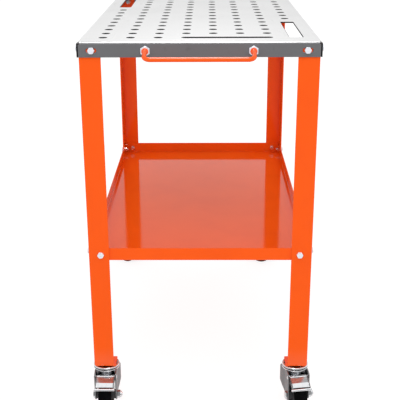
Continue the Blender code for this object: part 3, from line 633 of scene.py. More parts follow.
@made_once
def plated_sheet(start):
    """Pale plated sheet with a fine rolled grain. Faces that stand steep, the folded flanges and the lower
    half of each bend, take a darker grey that is partly a duller finish and partly painted shade by their
    facing.
    """
    top = bpy.context.scene.welding_table_top
    # Faces steeper than about 60 degrees get the darker grey: painted shade by facing, partly a duller finish
    flat = start.along("Z", "Normal").smooth(0.50, 0.88)
    cloud = start.noise(7.0, 4.0)
    grain = start.noise(900.0, 2.0, (1.0, 0.03, 1.0))
    scuff = start.noise(60.0, 6.0, (1.0, 0.12, 1.0)).smooth(0.60, 0.78)
    tone = (0.55 * cloud + 0.30 * grain + 0.35 * scuff).smooth(0.15, 0.95)
    bright = tone.blend(scaled(top.steel, 1.06), scaled(top.steel, 0.90))
    # The flanges' darker grey, partly a duller finish and partly painted shade
    dull_and_shaded = tone.blend(scaled(top.flange, 1.15), scaled(top.flange, 0.85))
    return {
        "Base Color": flat.blend(dull_and_shaded, bright),
        "Metallic": 0.35 + 0.65 * flat,
        "Roughness": 0.50 - 0.26 * flat + 0.14 * cloud + 0.10 * scuff + 0.05 * grain,
        "Normal": start.bump(grain, 0.00003),
    }


@made_once
def shaded_cut_edge(start):
    """Bare steel where the sheet was sheared or punched, coloured near black as painted shade in the holes
    and on the cut ends.
    """
    steel = bpy.context.scene.welding_table_top.shaded_cut_steel
    burr = start.noise(1400.0, 3.0, (1.0, 1.0, 0.15))
    return {
        "Base Color": burr.blend(scaled(steel, 0.6), scaled(steel, 1.6)),
        "Metallic": 0.2,
        "Specular IOR Level": 0.1,
        "Roughness": 0.50 + 0.25 * burr,
        "Normal": start.bump(burr, 0.00005),
    }


@made_once
def powder_coat(start):
    """Glossy orange coat with a faint ripple and slight changes of tone."""
    coat = bpy.context.scene.welding_table_frame.coat
    cloud = start.noise(9.0, 3.0)
    ripple = start.noise(420.0, 2.0)
    speck = start.noise(1500.0, 1.0).smooth(0.72, 0.80)
    tone = (cloud.smooth(0.25, 0.75) * 0.6 + speck * 0.4).smooth(0.0, 1.0)
    return {
        "Base Color": tone.blend(coat, scaled(coat, 0.94, 0.88, 0.88)),
        "Roughness": 0.05 + 0.05 * cloud + 0.10 * speck,
        "Normal": start.bump(ripple, 0.000012),
        "IOR": 1.46,
    }


@made_once
def zinc_plate(start):
    """Pale zinc on the bolts and nuts, with a faint blue cast in patches."""
    zinc = bpy.context.scene.welding_table_bolts.zinc
    patch = start.noise(260.0, 3.0)
    grain = start.noise(2200.0, 2.0)
    return {
        "Base Color": patch.smooth(0.3, 0.7).blend(zinc, scaled(zinc, 0.90, 0.93, 1.0)),
        "Metallic": 0.15,
        "Roughness": 0.26 + 0.20 * patch,
        "Normal": start.bump(grain, 0.00002),
    }


@made_once
def bright_chrome(start):
    """Bright plating on the casters with light smudges."""
    chrome = bpy.context.scene.welding_table_casters.chrome
    smudge = start.noise(120.0, 4.0)
    pit = start.noise(1800.0, 2.0).smooth(0.66, 0.78)
    return {
        "Base Color": smudge.smooth(0.35, 0.8).blend(chrome, scaled(chrome, 0.88)),
        "Metallic": 1.0,
        "Roughness": 0.03 + 0.06 * smudge + 0.10 * pit,
        "Normal": start.bump(smudge, 0.00001),
    }


@made_once
def shaded_brushed_chrome(start):
    """Plating over the brushed grain of the fork's cheeks, the bowl's floor and the pedal's walls, at about a
    quarter of the chrome's brightness: the grain is real, the darkness is painted shade and painted
    reflection of the shaded floor.
    """
    chrome = bpy.context.scene.welding_table_casters.chrome
    grain = start.noise(1100.0, 3.0, (1.0, 1.0, 0.05))
    smudge = start.noise(90.0, 3.0)
    tone = (0.7 * grain + 0.4 * smudge).smooth(0.2, 0.9)
    return {
        "Base Color": tone.blend(scaled(chrome, 0.21), scaled(chrome, 0.30)),
        "Metallic": 1.0,
        "Roughness": 0.26 + 0.18 * grain,
        "Normal": start.bump(grain, 0.00004),
    }


@made_once
def shaded_pedal_plate(start):
    """Plating on the pedal's upper plate, darkened to about half the chrome as painted shade, in faint
    streaks.
    """
    chrome = bpy.context.scene.welding_table_casters.chrome
    rub = start.noise(300.0, 4.0, (0.3, 1.0, 1.0))
    smudge = start.noise(120.0, 4.0)
    return {
        "Base Color": rub.smooth(0.25, 0.8).blend(scaled(chrome, 0.42), scaled(chrome, 0.58)),
        "Metallic": 1.0,
        "Roughness": 0.10 + 0.12 * smudge,
        "Normal": start.bump(rub, 0.00001),
    }


@made_once
def black_rubber(start):
    """Solid black tread, faintly grained."""
    rubber = bpy.context.scene.welding_table_casters.rubber
    grain = start.noise(1600.0, 3.0)
    dust = start.noise(70.0, 4.0).smooth(0.5, 0.8)
    return {
        "Base Color": dust.blend(rubber, scaled(rubber, 2.2)),
        "Roughness": 0.42 + 0.18 * grain + 0.12 * dust,
        "Normal": start.bump(grain, 0.00006),
        "Specular IOR Level": 0.03,
    }


@made_once
def dark_nylon(start):
    """Moulded hub, slightly mottled."""
    nylon = bpy.context.scene.welding_table_casters.nylon
    flow = start.noise(180.0, 4.0)
    grain = start.noise(2400.0, 2.0)
    return {
        "Base Color": flow.blend(scaled(nylon, 0.8), scaled(nylon, 1.25)),
        "Roughness": 0.45 + 0.15 * flow,
        "Normal": start.bump(grain, 0.00003),
    }


# Table top

# How many rows of holes a tool slot stands for, and which columns an edge slot does
TOOL_SLOT_ROWS = 5
EDGE_SLOT_COLUMNS = slice(3, 7)


def hole_centres(extent, pitch, margin):
    """The hole centres across one extent of the top, evenly about the middle."""
    rounding = 0.001
    count = int((extent - 2 * margin) / pitch + rounding) + 1
    return [(i - (count - 1) / 2) * pitch for i in range(count)]


def spot(x, y):
    """A place on the top, rounded so that like places compare as equal."""
    return round(x, 4), round(y, 4)


def punch(shape, outline, sheet, lead, turn):
    """A cutter through a sheet whose outer face is at z = 0, wider at both faces to break the edges."""
    upper = [(-lead, 0.0), (0.0, lead), (sheet, lead)]
    lower = [(-sheet - height, by) for height, by in upper[::-1]]
    rings = [[(x, y, height) for x, y in offset(outline, by)] for height, by in lower + upper]
    skin(shape, rings, turn)


def flange_place(x, y, z, end):
    """Turns +Z out of the front flange (end -1), the rear one (1) or, with end 0, the side flange at x."""
    turn = turned(-90 * end, "X") if end else turned(math.copysign(90, x), "Y") @ turned(90, "Z")
    return Matrix.Translation((x, y, z)) @ turn


def worktop_cuts(top, handle, wide, long, bolt_inset, bolt_drop):
    """The holes, tool slots and edge slots of the top and the bolt and rod holes of its flanges."""
    columns = hole_centres(wide, top.pitch, top.margin)
    rows = hole_centres(long, top.pitch, top.margin)
    tool_rows = rows[:TOOL_SLOT_ROWS]
    edge_columns = columns[EDGE_SLOT_COLUMNS]
    tool_long = tool_rows[-1] - tool_rows[0]
    edge_long = edge_columns[-1] - edge_columns[0] + top.hole
    tool = rounded_rectangle(tool_long, top.tool_slot, top.tool_slot_corner, FILLET_STEPS)
    edge = rounded_rectangle(edge_long, top.hole, top.hole / 2, ROUND_END_STEPS)
    tool_place = Matrix.Translation((columns[-1], (tool_rows[0] + tool_rows[-1]) / 2, 0)) @ turned(90, "Z")
    edge_place = Matrix.Translation(((edge_columns[0] + edge_columns[-1]) / 2, rows[0], 0))
    cuts = bmesh.new()
    taken = set()
    for side in (1, -1):
        half_turn = turned(90 - 90 * side, "Z")
        punch(cuts, tool, top.sheet, top.hole_lead, half_turn @ tool_place)
        punch(cuts, edge, top.sheet, top.hole_lead, half_turn @ edge_place)
        taken.update(spot(side * columns[-1], side * y) for y in tool_rows)
        taken.update(spot(side * x, side * rows[0]) for x in edge_columns)
    hole = circle(top.hole / 2, FINE_SIDES)
    for x in columns:
        for y in rows:
            if spot(x, y) not in taken:
                punch(cuts, hole, top.sheet, top.hole_lead, Matrix.Translation((x, y, 0)))
    slot = rounded_rectangle(top.bolt_slot, top.bolt_slot_width, top.bolt_slot_width / 2, ROUND_END_STEPS)
    for side_x, side_y in CORNERS.values():
        end_place = flange_place(side_x * (wide / 2 - bolt_inset), side_y * long / 2, -bolt_drop, side_y)
        side_place = flange_place(side_x * wide / 2, side_y * (long / 2 - bolt_inset), -bolt_drop, 0)
        for place in (end_place, side_place):
            punch(cuts, slot, top.sheet, top.break_edge, place)
    rod = circle(handle.rod / 2 + 2 * GAP, FINE_SIDES)
    for side in (-1, 1):
        place = flange_place(side * handle.span / 2, -long / 2, -handle.drop, -1)
        punch(cuts, rod, top.sheet, top.break_edge, place)
    return to_mesh("worktop_cuts", cuts)


def mark_shaded_cut_edges(mesh, wide, long, depth, sheet, bend):
    """Gives the sheared ends of the flanges and the walls of the holes the second finish, whose near-black
    colour is painted shade.
    """
    near = 0.0002
    steep, level = 0.8, 0.9
    for face in mesh.polygons:
        x, y, z = face.center
        flat = abs(x) < wide / 2 - bend and abs(y) < long / 2 - bend
        wall = flat and -sheet < z < 0.0 and abs(face.normal.z) < steep
        end = abs(x) > wide / 2 - sheet and abs(y) > long / 2 - near
        sheared = end and abs(face.normal.y) > level
        rim = face.normal.z < -level and z < near - depth
        face.material_index = 1 if wall or sheared or rim else 0


class WELDING_TABLE_OT_worktop(bpy.types.Operator):
    """Builds the perforated, folded table top"""

    bl_idname = "welding_table.worktop"
    bl_label = "Table top"

    def execute(self, context):
        top = context.scene.welding_table_top
        handle = context.scene.welding_table_handle
        wide, long, depth = TOP_HIGH - TOP_LOW
        bolt_low, bolt_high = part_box("flange_bolt_front_left_end")
        bolt = (bolt_low + bolt_high) / 2
        sheet = folded_sheet("worktop", wide, long, depth, top.sheet, top.bend, top.slit, -1, top.break_edge)
        cuts = worktop_cuts(top, handle, wide, long, bolt.x - TOP_LOW.x, TOP_HIGH.z - bolt.z)
        cutter = bpy.data.objects.new("worktop_cutter", cuts)
        context.scene.collection.objects.link(cutter)
        cut = {"operation": "DIFFERENCE", "object": cutter, "solver": "EXACT"}
        mesh = modelled("worktop", sheet, ("BOOLEAN", cut))
        bpy.data.objects.remove(cutter)
        mark_shaded_cut_edges(mesh, wide, long, depth, top.sheet, top.bend)
        place = Matrix.Translation(SURFACE)
        add_piece("worktop", mesh, (plated_sheet(), shaded_cut_edge()), "table", "table_top", place)
        return {"FINISHED"}


# Legs, shelf and handle


def angle_outline(sizes, corner):
    """An angle's section with its outer corner at the origin, rounded by this radius there."""
    wide = sizes.leg_width
    sheet = sizes.leg_sheet
    fold = [Vector((corner, corner)) - polar(corner, way) for way in quarter_turn(FILLET_STEPS)]
    ends = [Vector(p) for p in ((wide, 0.0), (wide, sheet), (sheet, sheet), (sheet, wide), (0.0, wide))]
    throat = filleted(ends[1:4], sheet / 3, steps=EDGE_STEPS)[1:-1]
    return fold + ends[:2] + throat + ends[3:]


def weld_path(sizes, far_x, far_y, height):
    """The rippled line of a weld bead along the inside of a leg."""
    ripple = 0.0003
    near = sizes.leg_sheet
    corner = [Vector((x, y, height)) for x, y in ((far_x, near), (near, near), (near, far_y))]
    run = filleted(corner, 3 * sizes.weld)
    line = []
    for start, end in zip(run, run[1:]):
        steps = max(1, round((end - start).length / sizes.weld))
        line += [start.lerp(end, step / steps) for step in range(steps)]
    return [point + UP * (ripple * (i % 2)) for i, point in enumerate(line)]


def post_mesh(sizes, foot_x, foot_y):
    """One leg with its outer corner at the origin: the angle, its foot plate and the weld bead inside."""
    shape = bmesh.new()
    bottom = FOOT_Z + sizes.foot_inset
    nose_share = 1.4
    nose = nose_share * sizes.leg_corner
    rings = []
    for way in quarter_turn(FILLET_STEPS):
        corner = sizes.leg_corner + nose * (1 - math.sin(way))
        rings.append((angle_outline(sizes, corner), bottom + nose * (1 - math.cos(way))))
    section = angle_outline(sizes, sizes.leg_corner)
    rings += [(section, LEG_TOP - SLIGHT_EDGE), (offset(section, -SLIGHT_EDGE), LEG_TOP)]
    skin(shape, [[(x, y, z) for x, y in outline] for outline, z in rings])
    plate = rounded_rectangle(foot_x, foot_y, sizes.foot_corner, FILLET_STEPS)
    foot_top = FOOT_Z + sizes.foot_sheet
    middle = (sizes.foot_inset + foot_x / 2, sizes.foot_inset + foot_y / 2, 0)
    slab(shape, plate, FOOT_Z, foot_top, SOFT_EDGE, Matrix.Translation(middle))
    far_x, far_y = (min(foot, sizes.leg_width) - 2 * sizes.weld for foot in (foot_x, foot_y))
    sweep(shape, weld_path(sizes, far_x, far_y, foot_top), circle(sizes.weld, BEAD_SIDES), UP)
    return to_mesh("post", shape)


class WELDING_TABLE_OT_legs(bpy.types.Operator):
    """Builds the four angle legs with their foot plates"""

    bl_idname = "welding_table.legs"
    bl_label = "Legs"

    def execute(self, context):
        sizes = context.scene.welding_table_frame
        right_hand = post_mesh(sizes, sizes.foot_width, sizes.foot_depth)
        left_hand = post_mesh(sizes, sizes.foot_depth, sizes.foot_width)
        for quarter, (corner, (side_x, side_y)) in enumerate(CORNERS.items()):
            node = "leg_" + corner
            low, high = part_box(node)
            x = low.x if side_x < 0 else high.x
            y = low.y if side_y < 0 else high.y
            place = Matrix.Translation((x, y, 0)) @ turned(90 * quarter, "Z")
            mesh = left_hand if quarter % 2 else right_hand
            add_piece("post_" + corner, mesh, (powder_coat(),), "table", node, place)
        return {"FINISHED"}


class WELDING_TABLE_OT_shelf(bpy.types.Operator):
    """Builds the tray shelf between the legs"""

    bl_idname = "welding_table.shelf"
    bl_label = "Shelf"

    def execute(self, context):
        sizes = context.scene.welding_table_frame
        wide, long, depth = SHELF_HIGH - SHELF_LOW
        sheet = sizes.shelf_sheet
        slit = context.scene.welding_table_top.slit
        mesh = folded_sheet("tray", wide, long, depth, sheet, sizes.shelf_bend, slit, 1, sheet / 5)
        middle = (SHELF_LOW + SHELF_HIGH) / 2
        place = Matrix.Translation((middle.x, middle.y, SHELF_LOW.z))
        add_piece("tray", mesh, (powder_coat(),), "table", "lower_shelf", place)
        return {"FINISHED"}


def push_bar_mesh(sizes, collar_y, tail_y, rod_z, pitch):
    """The bent rod, with a collar and a threaded tail at each end."""
    shape = bmesh.new()
    rod = sizes.rod / 2
    half = sizes.span / 2
    elbow_y = collar_y - sizes.collar_length - sizes.elbow / 2
    knees = ((collar_y, rod_z), (elbow_y, rod_z), (TOP_LOW.y - sizes.reach, rod_z - sizes.droop))
    knots = [Vector((SURFACE.x - half, y, z)) for y, z in knees]
    knots += [Vector((SURFACE.x + half, y, z)) for y, z in knees[::-1]]
    sweep(shape, filleted(knots, sizes.bend, steps=BEND_STEPS), circle(rod, FINE_SIDES), UP)
    wide, far, fillet = sizes.collar / 2, sizes.collar_length, 0.001
    collar = [(0.0, 0.0), (wide, 0.0), (wide, far), (1.15 * rod, far), (0.98 * rod, far + fillet)]
    collar = [(max(reach, TIP / 10), height) for reach, height in filleted(collar, radius=0.0007)]
    for side in (-1, 1):
        place = Matrix.Translation((SURFACE.x + side * half, collar_y, rod_z)) @ turned(90, "X")
        lathe(shape, collar, place)
        thread(shape, sizes.rod, collar_y - tail_y, 0.0, pitch, place, finish=1)
    return to_mesh("push_bar", shape)


class WELDING_TABLE_OT_handle(bpy.types.Operator):
    """Builds the bent push handle and its nuts"""

    bl_idname = "welding_table.handle"
    bl_label = "Push handle"

    def execute(self, context):
        sizes = context.scene.welding_table_handle
        pitch = context.scene.welding_table_bolts.thread
        rod_z = TOP_HIGH.z - sizes.drop
        outer_y = TOP_LOW.y - GAP - sizes.nut_height
        inner_y = TOP_LOW.y + context.scene.welding_table_top.sheet + GAP
        bar = push_bar_mesh(sizes, outer_y - GAP, inner_y + sizes.nut_height + sizes.tail, rod_z, pitch)
        add_piece("push_bar", bar, (powder_coat(), zinc_plate()), "table", "push_handle")
        shape = bmesh.new()
        hexagon(shape, sizes.nut_flats, 0.0, sizes.nut_height, bore=sizes.rod)
        nut = to_mesh("bar_nut", shape)
        turn = turned(-90, "X") @ turned(30, "Z")
        for word, side in (("left", -1), ("right", 1)):
            for kind, y in (("outer", outer_y), ("inner", inner_y)):
                end = f"{kind}_{word}"
                place = Matrix.Translation((SURFACE.x + side * sizes.span / 2, y, rod_z)) @ turn
                add_piece("bar_nut_" + end, nut, (zinc_plate(),), "table", "handle_nut_" + end, place)
        return {"FINISHED"}


# Bolts of the frame


def bolt_mesh(name, sizes, grip):
    """A bolt along +Z with its head's seat at z = 0, its nut past the grip and its thread past the nut."""
    shape = bmesh.new()
    flip = turned(180, "X")
    hexagon(shape, sizes.flats, 0.0, sizes.head, flip, both=False)
    inner, outer = 0.30 * sizes.flats, 0.36 * sizes.flats
    floor, rim, root = sizes.head - SLIGHT_EDGE, sizes.head + 0.00005, sizes.head - 0.001
    lathe(shape, [(TIP, floor), (inner, floor), (outer, rim), (inner, root)], flip, sides=FINE_SIDES)
    radius, shank_start = sizes.diameter / 2, -0.0002
    lathe(shape, [(radius, shank_start), (radius, grip)], sides=FINE_SIDES)
    nut_end = grip + sizes.nut
    hexagon(shape, sizes.flats, grip, nut_end, bore=sizes.diameter, finish=1)
    thread(shape, sizes.diameter, grip, nut_end + sizes.tail, sizes.thread, finish=1)
    return to_mesh(name, shape)


def bolt_place(node, side_x, side_y, head):
    """Where a bolt's head sits, with +Z pointing into the table, from the box of its CAD node."""
    low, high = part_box(node)
    seat = (low + high) / 2
    if node.endswith("_end"):
        seat.y = low.y + head if side_y < 0 else high.y - head
        turn = turned(90 * side_y, "X")
    else:
        seat.x = low.x + head if side_x < 0 else high.x - head
        turn = turned(-90 * side_x, "Y")
    return Matrix.Translation(seat) @ turn


class WELDING_TABLE_OT_bolts(bpy.types.Operator):
    """Builds the bolts that hold the top and the shelf to the legs"""

    bl_idname = "welding_table.bolts"
    bl_label = "Frame bolts"

    def execute(self, context):
        sizes = context.scene.welding_table_bolts
        finishes = (zinc_plate(), bright_chrome())
        for kind in ("flange", "shelf"):
            low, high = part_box(f"{kind}_bolt_front_left_end")
            grip = high.y - low.y - sizes.head - sizes.nut - sizes.tail
            mesh = bolt_mesh(kind + "_fixing", sizes, grip)
            for corner, (side_x, side_y) in CORNERS.items():
                for face in ("end", "side"):
                    node = f"{kind}_bolt_{corner}_{face}"
                    place = bolt_place(node, side_x, side_y, sizes.head)
                    add_piece(f"{kind}_fixing_{corner}_{face}", mesh, finishes, "table", node, place)
        return {"FINISHED"}


# Casters


def caster_place(corner):
    """Where a caster stands: its origin under the foot plate, X along the axle and Z up."""
    across = Vector(JOINTS["roll_" + corner]["axis"]).normalized()
    turn = Matrix((across, UP.cross(across), UP)).transposed().to_4x4()
    return Matrix.Translation(JOINTS["swivel_" + corner]["pos_m"]) @ turn


def add_at_casters(name, mesh, finishes, body, node, shift=(0, 0, 0)):
    """One like piece at each caster, on the table or on that caster's own body."""
    for corner in CORNERS:
        carrier = body if body == "table" else f"{body}_{corner}"
        place = caster_place(corner) @ Matrix.Translation(shift)
        add_piece(f"{name}_{corner}", mesh, finishes, carrier, f"{node}_{corner}", place)


def axle_shift(sizes):
    return 0, -sizes.trail, -sizes.axle_drop


def mount_mesh(sizes):
    """The bowl with its rolled rim, the king pin and its riveted end, and the threaded stem."""
    shape = bmesh.new()
    bead = (sizes.bowl_depth - sizes.bowl_drop) / 2
    inside = sizes.bowl / 2 - bead
    roll = [(inside + x, y - sizes.bowl_drop - bead) for x, y in circle(bead, FINE_SIDES)[::-1]]
    lathe(shape, roll, ring=True)
    seat, seat_foot = sizes.bowl_seat / 2, sizes.bowl_seat / 2 + 0.0015
    pin = sizes.king_pin / 2
    neck = pin - 0.0005
    under = SLIGHT_EDGE - sizes.bowl_depth
    floor = under + 0.0020
    dish = [(inside, under), (neck, under), (neck, -sizes.bowl_drop), (seat, -sizes.bowl_drop)]
    dish += [(seat_foot, floor), (inside, floor)]
    # The bowl's floor under the foot plate takes the dark chrome: painted shade
    lathe(shape, dish, ring=True, finish=1)
    rivet = sizes.rivet / 2
    rivet_top = -sizes.crown_top - sizes.fork_sheet - GAP
    rivet_end = rivet_top - sizes.rivet_height
    pin_top = -2 * GAP
    profile = [(TIP, rivet_end), (rivet, rivet_end), (rivet, rivet_top), (pin, rivet_top)]
    profile += [(pin, pin_top), (TIP, pin_top)]
    lathe(shape, filleted(profile, radius=0.001, steps=EDGE_STEPS))
    foot = bpy.context.scene.welding_table_frame.foot_sheet
    stem_root, stem_past_nut = -0.001, 0.0033
    stem_top = foot + sizes.stem_nut_height + stem_past_nut
    thread(shape, sizes.stem, stem_root, stem_top, sizes.stem_thread)
    return to_mesh("caster_mount", shape)


def stem_nut_mesh(sizes):
    shape = bmesh.new()
    hexagon(shape, sizes.stem_nut, 0.0, sizes.stem_nut_height, bore=sizes.stem)
    return to_mesh("stem_lock", shape)


def balls_mesh(sizes):
    """The ball ring: balls in a pressed cage, between the bowl and the crown. The cage's dark finish is
    painted shade in that gap.
    """
    count = 48
    inset = 0.0035
    cage_inside = 0.0205
    cage_half = 0.0003
    radius = sizes.ball / 2
    middle = -sizes.crown_top + GAP + radius
    track = sizes.bowl / 2 - inset - radius
    shape = bmesh.new()
    for x, y in circle(track, count):
        place = Matrix.Translation((x, y, middle))
        bmesh.ops.create_uvsphere(shape, u_segments=8, v_segments=5, radius=radius, matrix=place)
    low, high = middle - cage_half, middle + cage_half
    cage = [(cage_inside, low), (track, low), (track, high), (cage_inside, high)]
    # The cage takes the dark hub finish: painted shade in the gap between bowl and crown
    lathe(shape, cage, ring=True, finish=1)
    return to_mesh("ball_ring", shape)


def cheek_outline(sizes):
    """One cheek from the side, as (Y, Z): broad under the crown and round at the axle."""
    first, swing, steps = 200, 135, 10
    shoulder = -0.024
    top = -sizes.crown_top - sizes.fork_sheet / 2
    brow = -sizes.crown_top - 0.006
    axle = Vector((-sizes.trail, -sizes.axle_drop))
    ways = [math.radians(first + swing * step / steps) for step in range(steps + 1)]
    tip = [axle + polar(sizes.cheek_end, way) for way in ways]
    rest = [tip[-1], (sizes.cheek_back, -sizes.cheek_drop), (sizes.cheek_back, top)]
    rest += [(shoulder, top), (-sizes.cheek_front, brow), tip[0]]
    return tip + filleted(rest, radius=0.008)[1:-1]


def cheek_side(sizes, y):
    """How far a cheek's outer face lies from the middle of the fork, at a place along it."""
    slow = 0.4
    share = max(0.0, (y + sizes.cheek_bend) / (sizes.cheek_back + sizes.cheek_bend))
    eased = share * (slow + (1 - slow) * min(1.0, 2 * share))
    return sizes.fork_width / 2 + sizes.cheek_flare * eased


def bridge_outline(sizes):
    """The plate under the crown, from above, up to the middle of each cheek's sheet."""
    run = sizes.bridge_front + sizes.bridge_back
    places = [run * step / FLARE_STEPS - sizes.bridge_front for step in range(FLARE_STEPS + 1)]
    right = [Vector((cheek_side(sizes, y) - sizes.fork_sheet / 2, y)) for y in places]
    return right + [Vector((-x, y)) for x, y in right[::-1]]


def crown_profile(sizes):
    """The dished crown as (radius, height), open inside for the king pin's riveted end."""
    top = -sizes.crown_top
    under = top - sizes.fork_sheet
    low = top - sizes.crown_height
    rim = sizes.bowl / 2
    pin = sizes.king_pin / 2 + GAP
    foot = sizes.crown_foot / 2
    room = sizes.rivet / 2 + 0.0012
    room_end = under - 0.005
    waist = (foot + 0.0030, top - 0.0085)
    shoulder = (rim - 0.004, top - 0.0042)
    brim = (rim, top - 0.0030)
    mouth = (foot - 0.003, low)
    outside = [(foot, low), waist, shoulder, brim, (rim, top)]
    return outside + [(pin, top), (pin, under), (room, under), (room, room_end), mouth]


def fork_mesh(sizes):
    """The fork: two cheeks, flared behind the axle, a bridge between them and the dished crown."""
    shape = bmesh.new()
    half = sizes.fork_width / 2
    # The cheeks take the dark chrome: painted shade and painted reflection of the shaded floor
    paired_slabs(shape, cheek_outline(sizes), half - sizes.fork_sheet, half, SOFT_EDGE, AXLE_TURN, finish=1)
    run = sizes.cheek_back + sizes.cheek_bend
    for step in range(FLARE_STEPS):
        line = (0, run * step / FLARE_STEPS - sizes.cheek_bend, 0)
        everything = shape.verts[:] + shape.edges[:] + shape.faces[:]
        bmesh.ops.bisect_plane(shape, geom=everything, plane_co=line, plane_no=(0, 1, 0))
    for vert in shape.verts:
        vert.co.x += math.copysign(cheek_side(sizes, vert.co.y) - half, vert.co.x)
    low = -sizes.crown_top - sizes.crown_height
    slab(shape, bridge_outline(sizes), low, low + sizes.fork_sheet, SOFT_EDGE)
    lathe(shape, filleted(crown_profile(sizes), radius=0.0014, closed=True, steps=4), ring=True)
    return to_mesh("caster_fork", shape)


def axle_mesh(sizes):
    """The axle bolt with its lock nut, along X."""
    shape = bmesh.new()
    half = sizes.fork_width / 2
    seat = half + GAP
    head_end, nut_end = half + 0.0048, half + 0.0082
    lock_start, lock_end = half + 0.0077, half + 0.0108
    shank_start, shank_end = -half - 0.001, half + 0.0004
    thread_start, thread_end = half + 0.0002, half + 0.0128
    radius = sizes.axle / 2
    lock = 0.45 * sizes.axle_flats
    hexagon(shape, sizes.axle_flats, seat, head_end, AXLE_TURN @ turned(180, "X"), both=False)
    lathe(shape, [(radius, shank_start), (radius, shank_end)], AXLE_TURN)
    hexagon(shape, sizes.axle_flats, seat, nut_end, AXLE_TURN, bore=sizes.axle)
    collar = [(radius, lock_start), (lock, lock_start), (lock, lock_end), (radius, lock_end)]
    lathe(shape, filleted(collar, radius=0.0010, closed=True, steps=EDGE_STEPS), AXLE_TURN, ring=True)
    thread(shape, sizes.axle, thread_start, thread_end, sizes.axle_thread, AXLE_TURN)
    return to_mesh("axle_set", shape)


def hub_mesh(sizes):
    """The hub along X: a long barrel between the cheeks, a web and the rim under the tread."""
    spokes = 6
    barrel, barrel_foot = 0.011, 0.0115
    web, web_rim = 0.010, 0.009
    rib_wide, rib_corner, rib_low, rib_high = 0.0024, 0.0008, 0.008, 0.0125
    end_play = 0.0004
    end = sizes.fork_width / 2 - sizes.fork_sheet - end_play
    rim_end = sizes.wheel_width / 2
    rim = sizes.wheel / 2 - sizes.tread
    rim_foot, rim_inside = rim - 0.005, rim - 0.0035
    rib_start, rib_end = 0.010, rim - 0.004
    half = [(sizes.axle / 2 + GAP, end), (barrel, end), (barrel_foot, web), (rim_foot, web_rim)]
    half += [(rim_inside, rim_end), (rim, rim_end)]
    profile = half + [(radius, -height) for radius, height in half[::-1]]
    shape = bmesh.new()
    lathe(shape, filleted(profile, radius=0.0012, closed=True, steps=EDGE_STEPS), AXLE_TURN, ring=True)
    rib = rounded_rectangle(rib_end - rib_start, rib_wide, rib_corner, EDGE_STEPS)
    outwards = Matrix.Translation(((rib_start + rib_end) / 2, 0, 0))
    for spoke in range(spokes):
        place = AXLE_TURN @ turned(360 * spoke / spokes, "Z") @ outwards
        paired_slabs(shape, rib, rib_low, rib_high, SLIGHT_EDGE, place)
    return to_mesh("wheel_core", shape)


def tread_mesh(sizes):
    """The tread along X, with round shoulders and a faint mould line round its middle."""
    line_half, line_deep = 0.0006, 0.0002
    outer = sizes.wheel / 2
    inner = outer - sizes.tread + GAP
    half = sizes.wheel_width / 2
    groove = [(outer, line_half), (outer - line_deep, 0.0), (outer, -line_half)]
    corner = [(inner, half), (outer, half), (outer, line_half)]
    shoulder = filleted(corner, sizes.shoulder, steps=ROUND_END_STEPS)[:-1]
    profile = shoulder + groove + [(radius, -height) for radius, height in shoulder[::-1]]
    shape = bmesh.new()
    lathe(shape, profile, AXLE_TURN, ring=True, sides=2 * ROUND_SIDES)
    return to_mesh("wheel_tread", shape)


def downhill(slope):
    """The way forward and down a slope and the way out of it."""
    along = Vector((0, -math.cos(slope), -math.sin(slope)))
    return along, Vector((0, along.z, -along.y))


def pedal_mesh(sizes):
    """The brake pedal: a cross rod, a sloping plate, a steeper tread, side walls and a rolled lip."""
    side_room, back_sag, plate_end = 0.001, 0.0014, 0.0015
    heel_back, heel_deep, bend_deep = 0.003, 0.009, 0.006
    shape = bmesh.new()
    sheet = sizes.pedal_sheet
    half = sizes.fork_width / 2 - sizes.fork_sheet - side_room
    rod = sizes.pedal_pin / 2
    lip = sizes.pedal_lip / 2
    pivot = Vector((0, -sizes.pivot_reach, -sizes.pivot_drop))
    plate_way, plate_up = downhill(sizes.plate_slope)
    tread_way, tread_up = downhill(sizes.tread_slope)
    over = pivot + UP * (rod - sheet / 2)
    back = over - UP * back_sag
    bend = over + sizes.pedal_plate * plate_way
    tip = bend + sizes.pedal_tread * tread_way
    edge = tip - (lip + sizes.lip_slit) * tread_way
    section = rounded_rectangle(2 * half, sheet, 0.35 * sheet, EDGE_STEPS)
    path = filleted([back, bend, edge], radius=0.005, steps=ROUND_END_STEPS)
    sweep(shape, path, section, Vector((1, 0, 0)))
    # The upper plate takes the half-bright chrome, and the tread's end face beside the lip takes the dark
    # chrome as a painted dark line of shade
    shape.normal_update()
    for face in shape.faces:
        if face.calc_center_median().y > bend.y + plate_end:
            face.material_index = 1
        elif face.normal.dot(tread_way) > 0.9:
            face.material_index = 2
    end = sizes.lip_width / 2
    roll = filleted([(TIP, -end), (lip, -end), (lip, end), (TIP, end)], radius=0.8 * lip, steps=4)
    lathe(shape, roll, Matrix.Translation(tip) @ AXLE_TURN, sides=FINE_SIDES)
    rise = sheet / 2 + sizes.pedal_rise
    heel = pivot + Vector((0, heel_back, 0))
    wall = [heel + rise * UP, back + rise * plate_up, bend + rise * (plate_up + tread_up) / 2]
    wall += [tip + rise * tread_up, tip - sheet / 2 * tread_up]
    wall += [bend - bend_deep * UP, heel - heel_deep * UP]
    outline = filleted([point.yz for point in wall], radius=0.002, closed=True, steps=4)
    # The side walls take the dark chrome: painted shade
    paired_slabs(shape, outline, half - sheet, half, SLIGHT_EDGE, AXLE_TURN, finish=2)
    button = ((TIP, 0.0013), (0.0030, 0.0011), (0.0042, 0.0002), (rod, 0.0))
    pin = [(radius, sizes.fork_width / 2 + height) for radius, height in button]
    pin += [(radius, -height) for radius, height in pin[::-1]]
    lathe(shape, pin, Matrix.Translation(pivot) @ AXLE_TURN, sides=FINE_SIDES)
    return to_mesh("brake_step", shape)


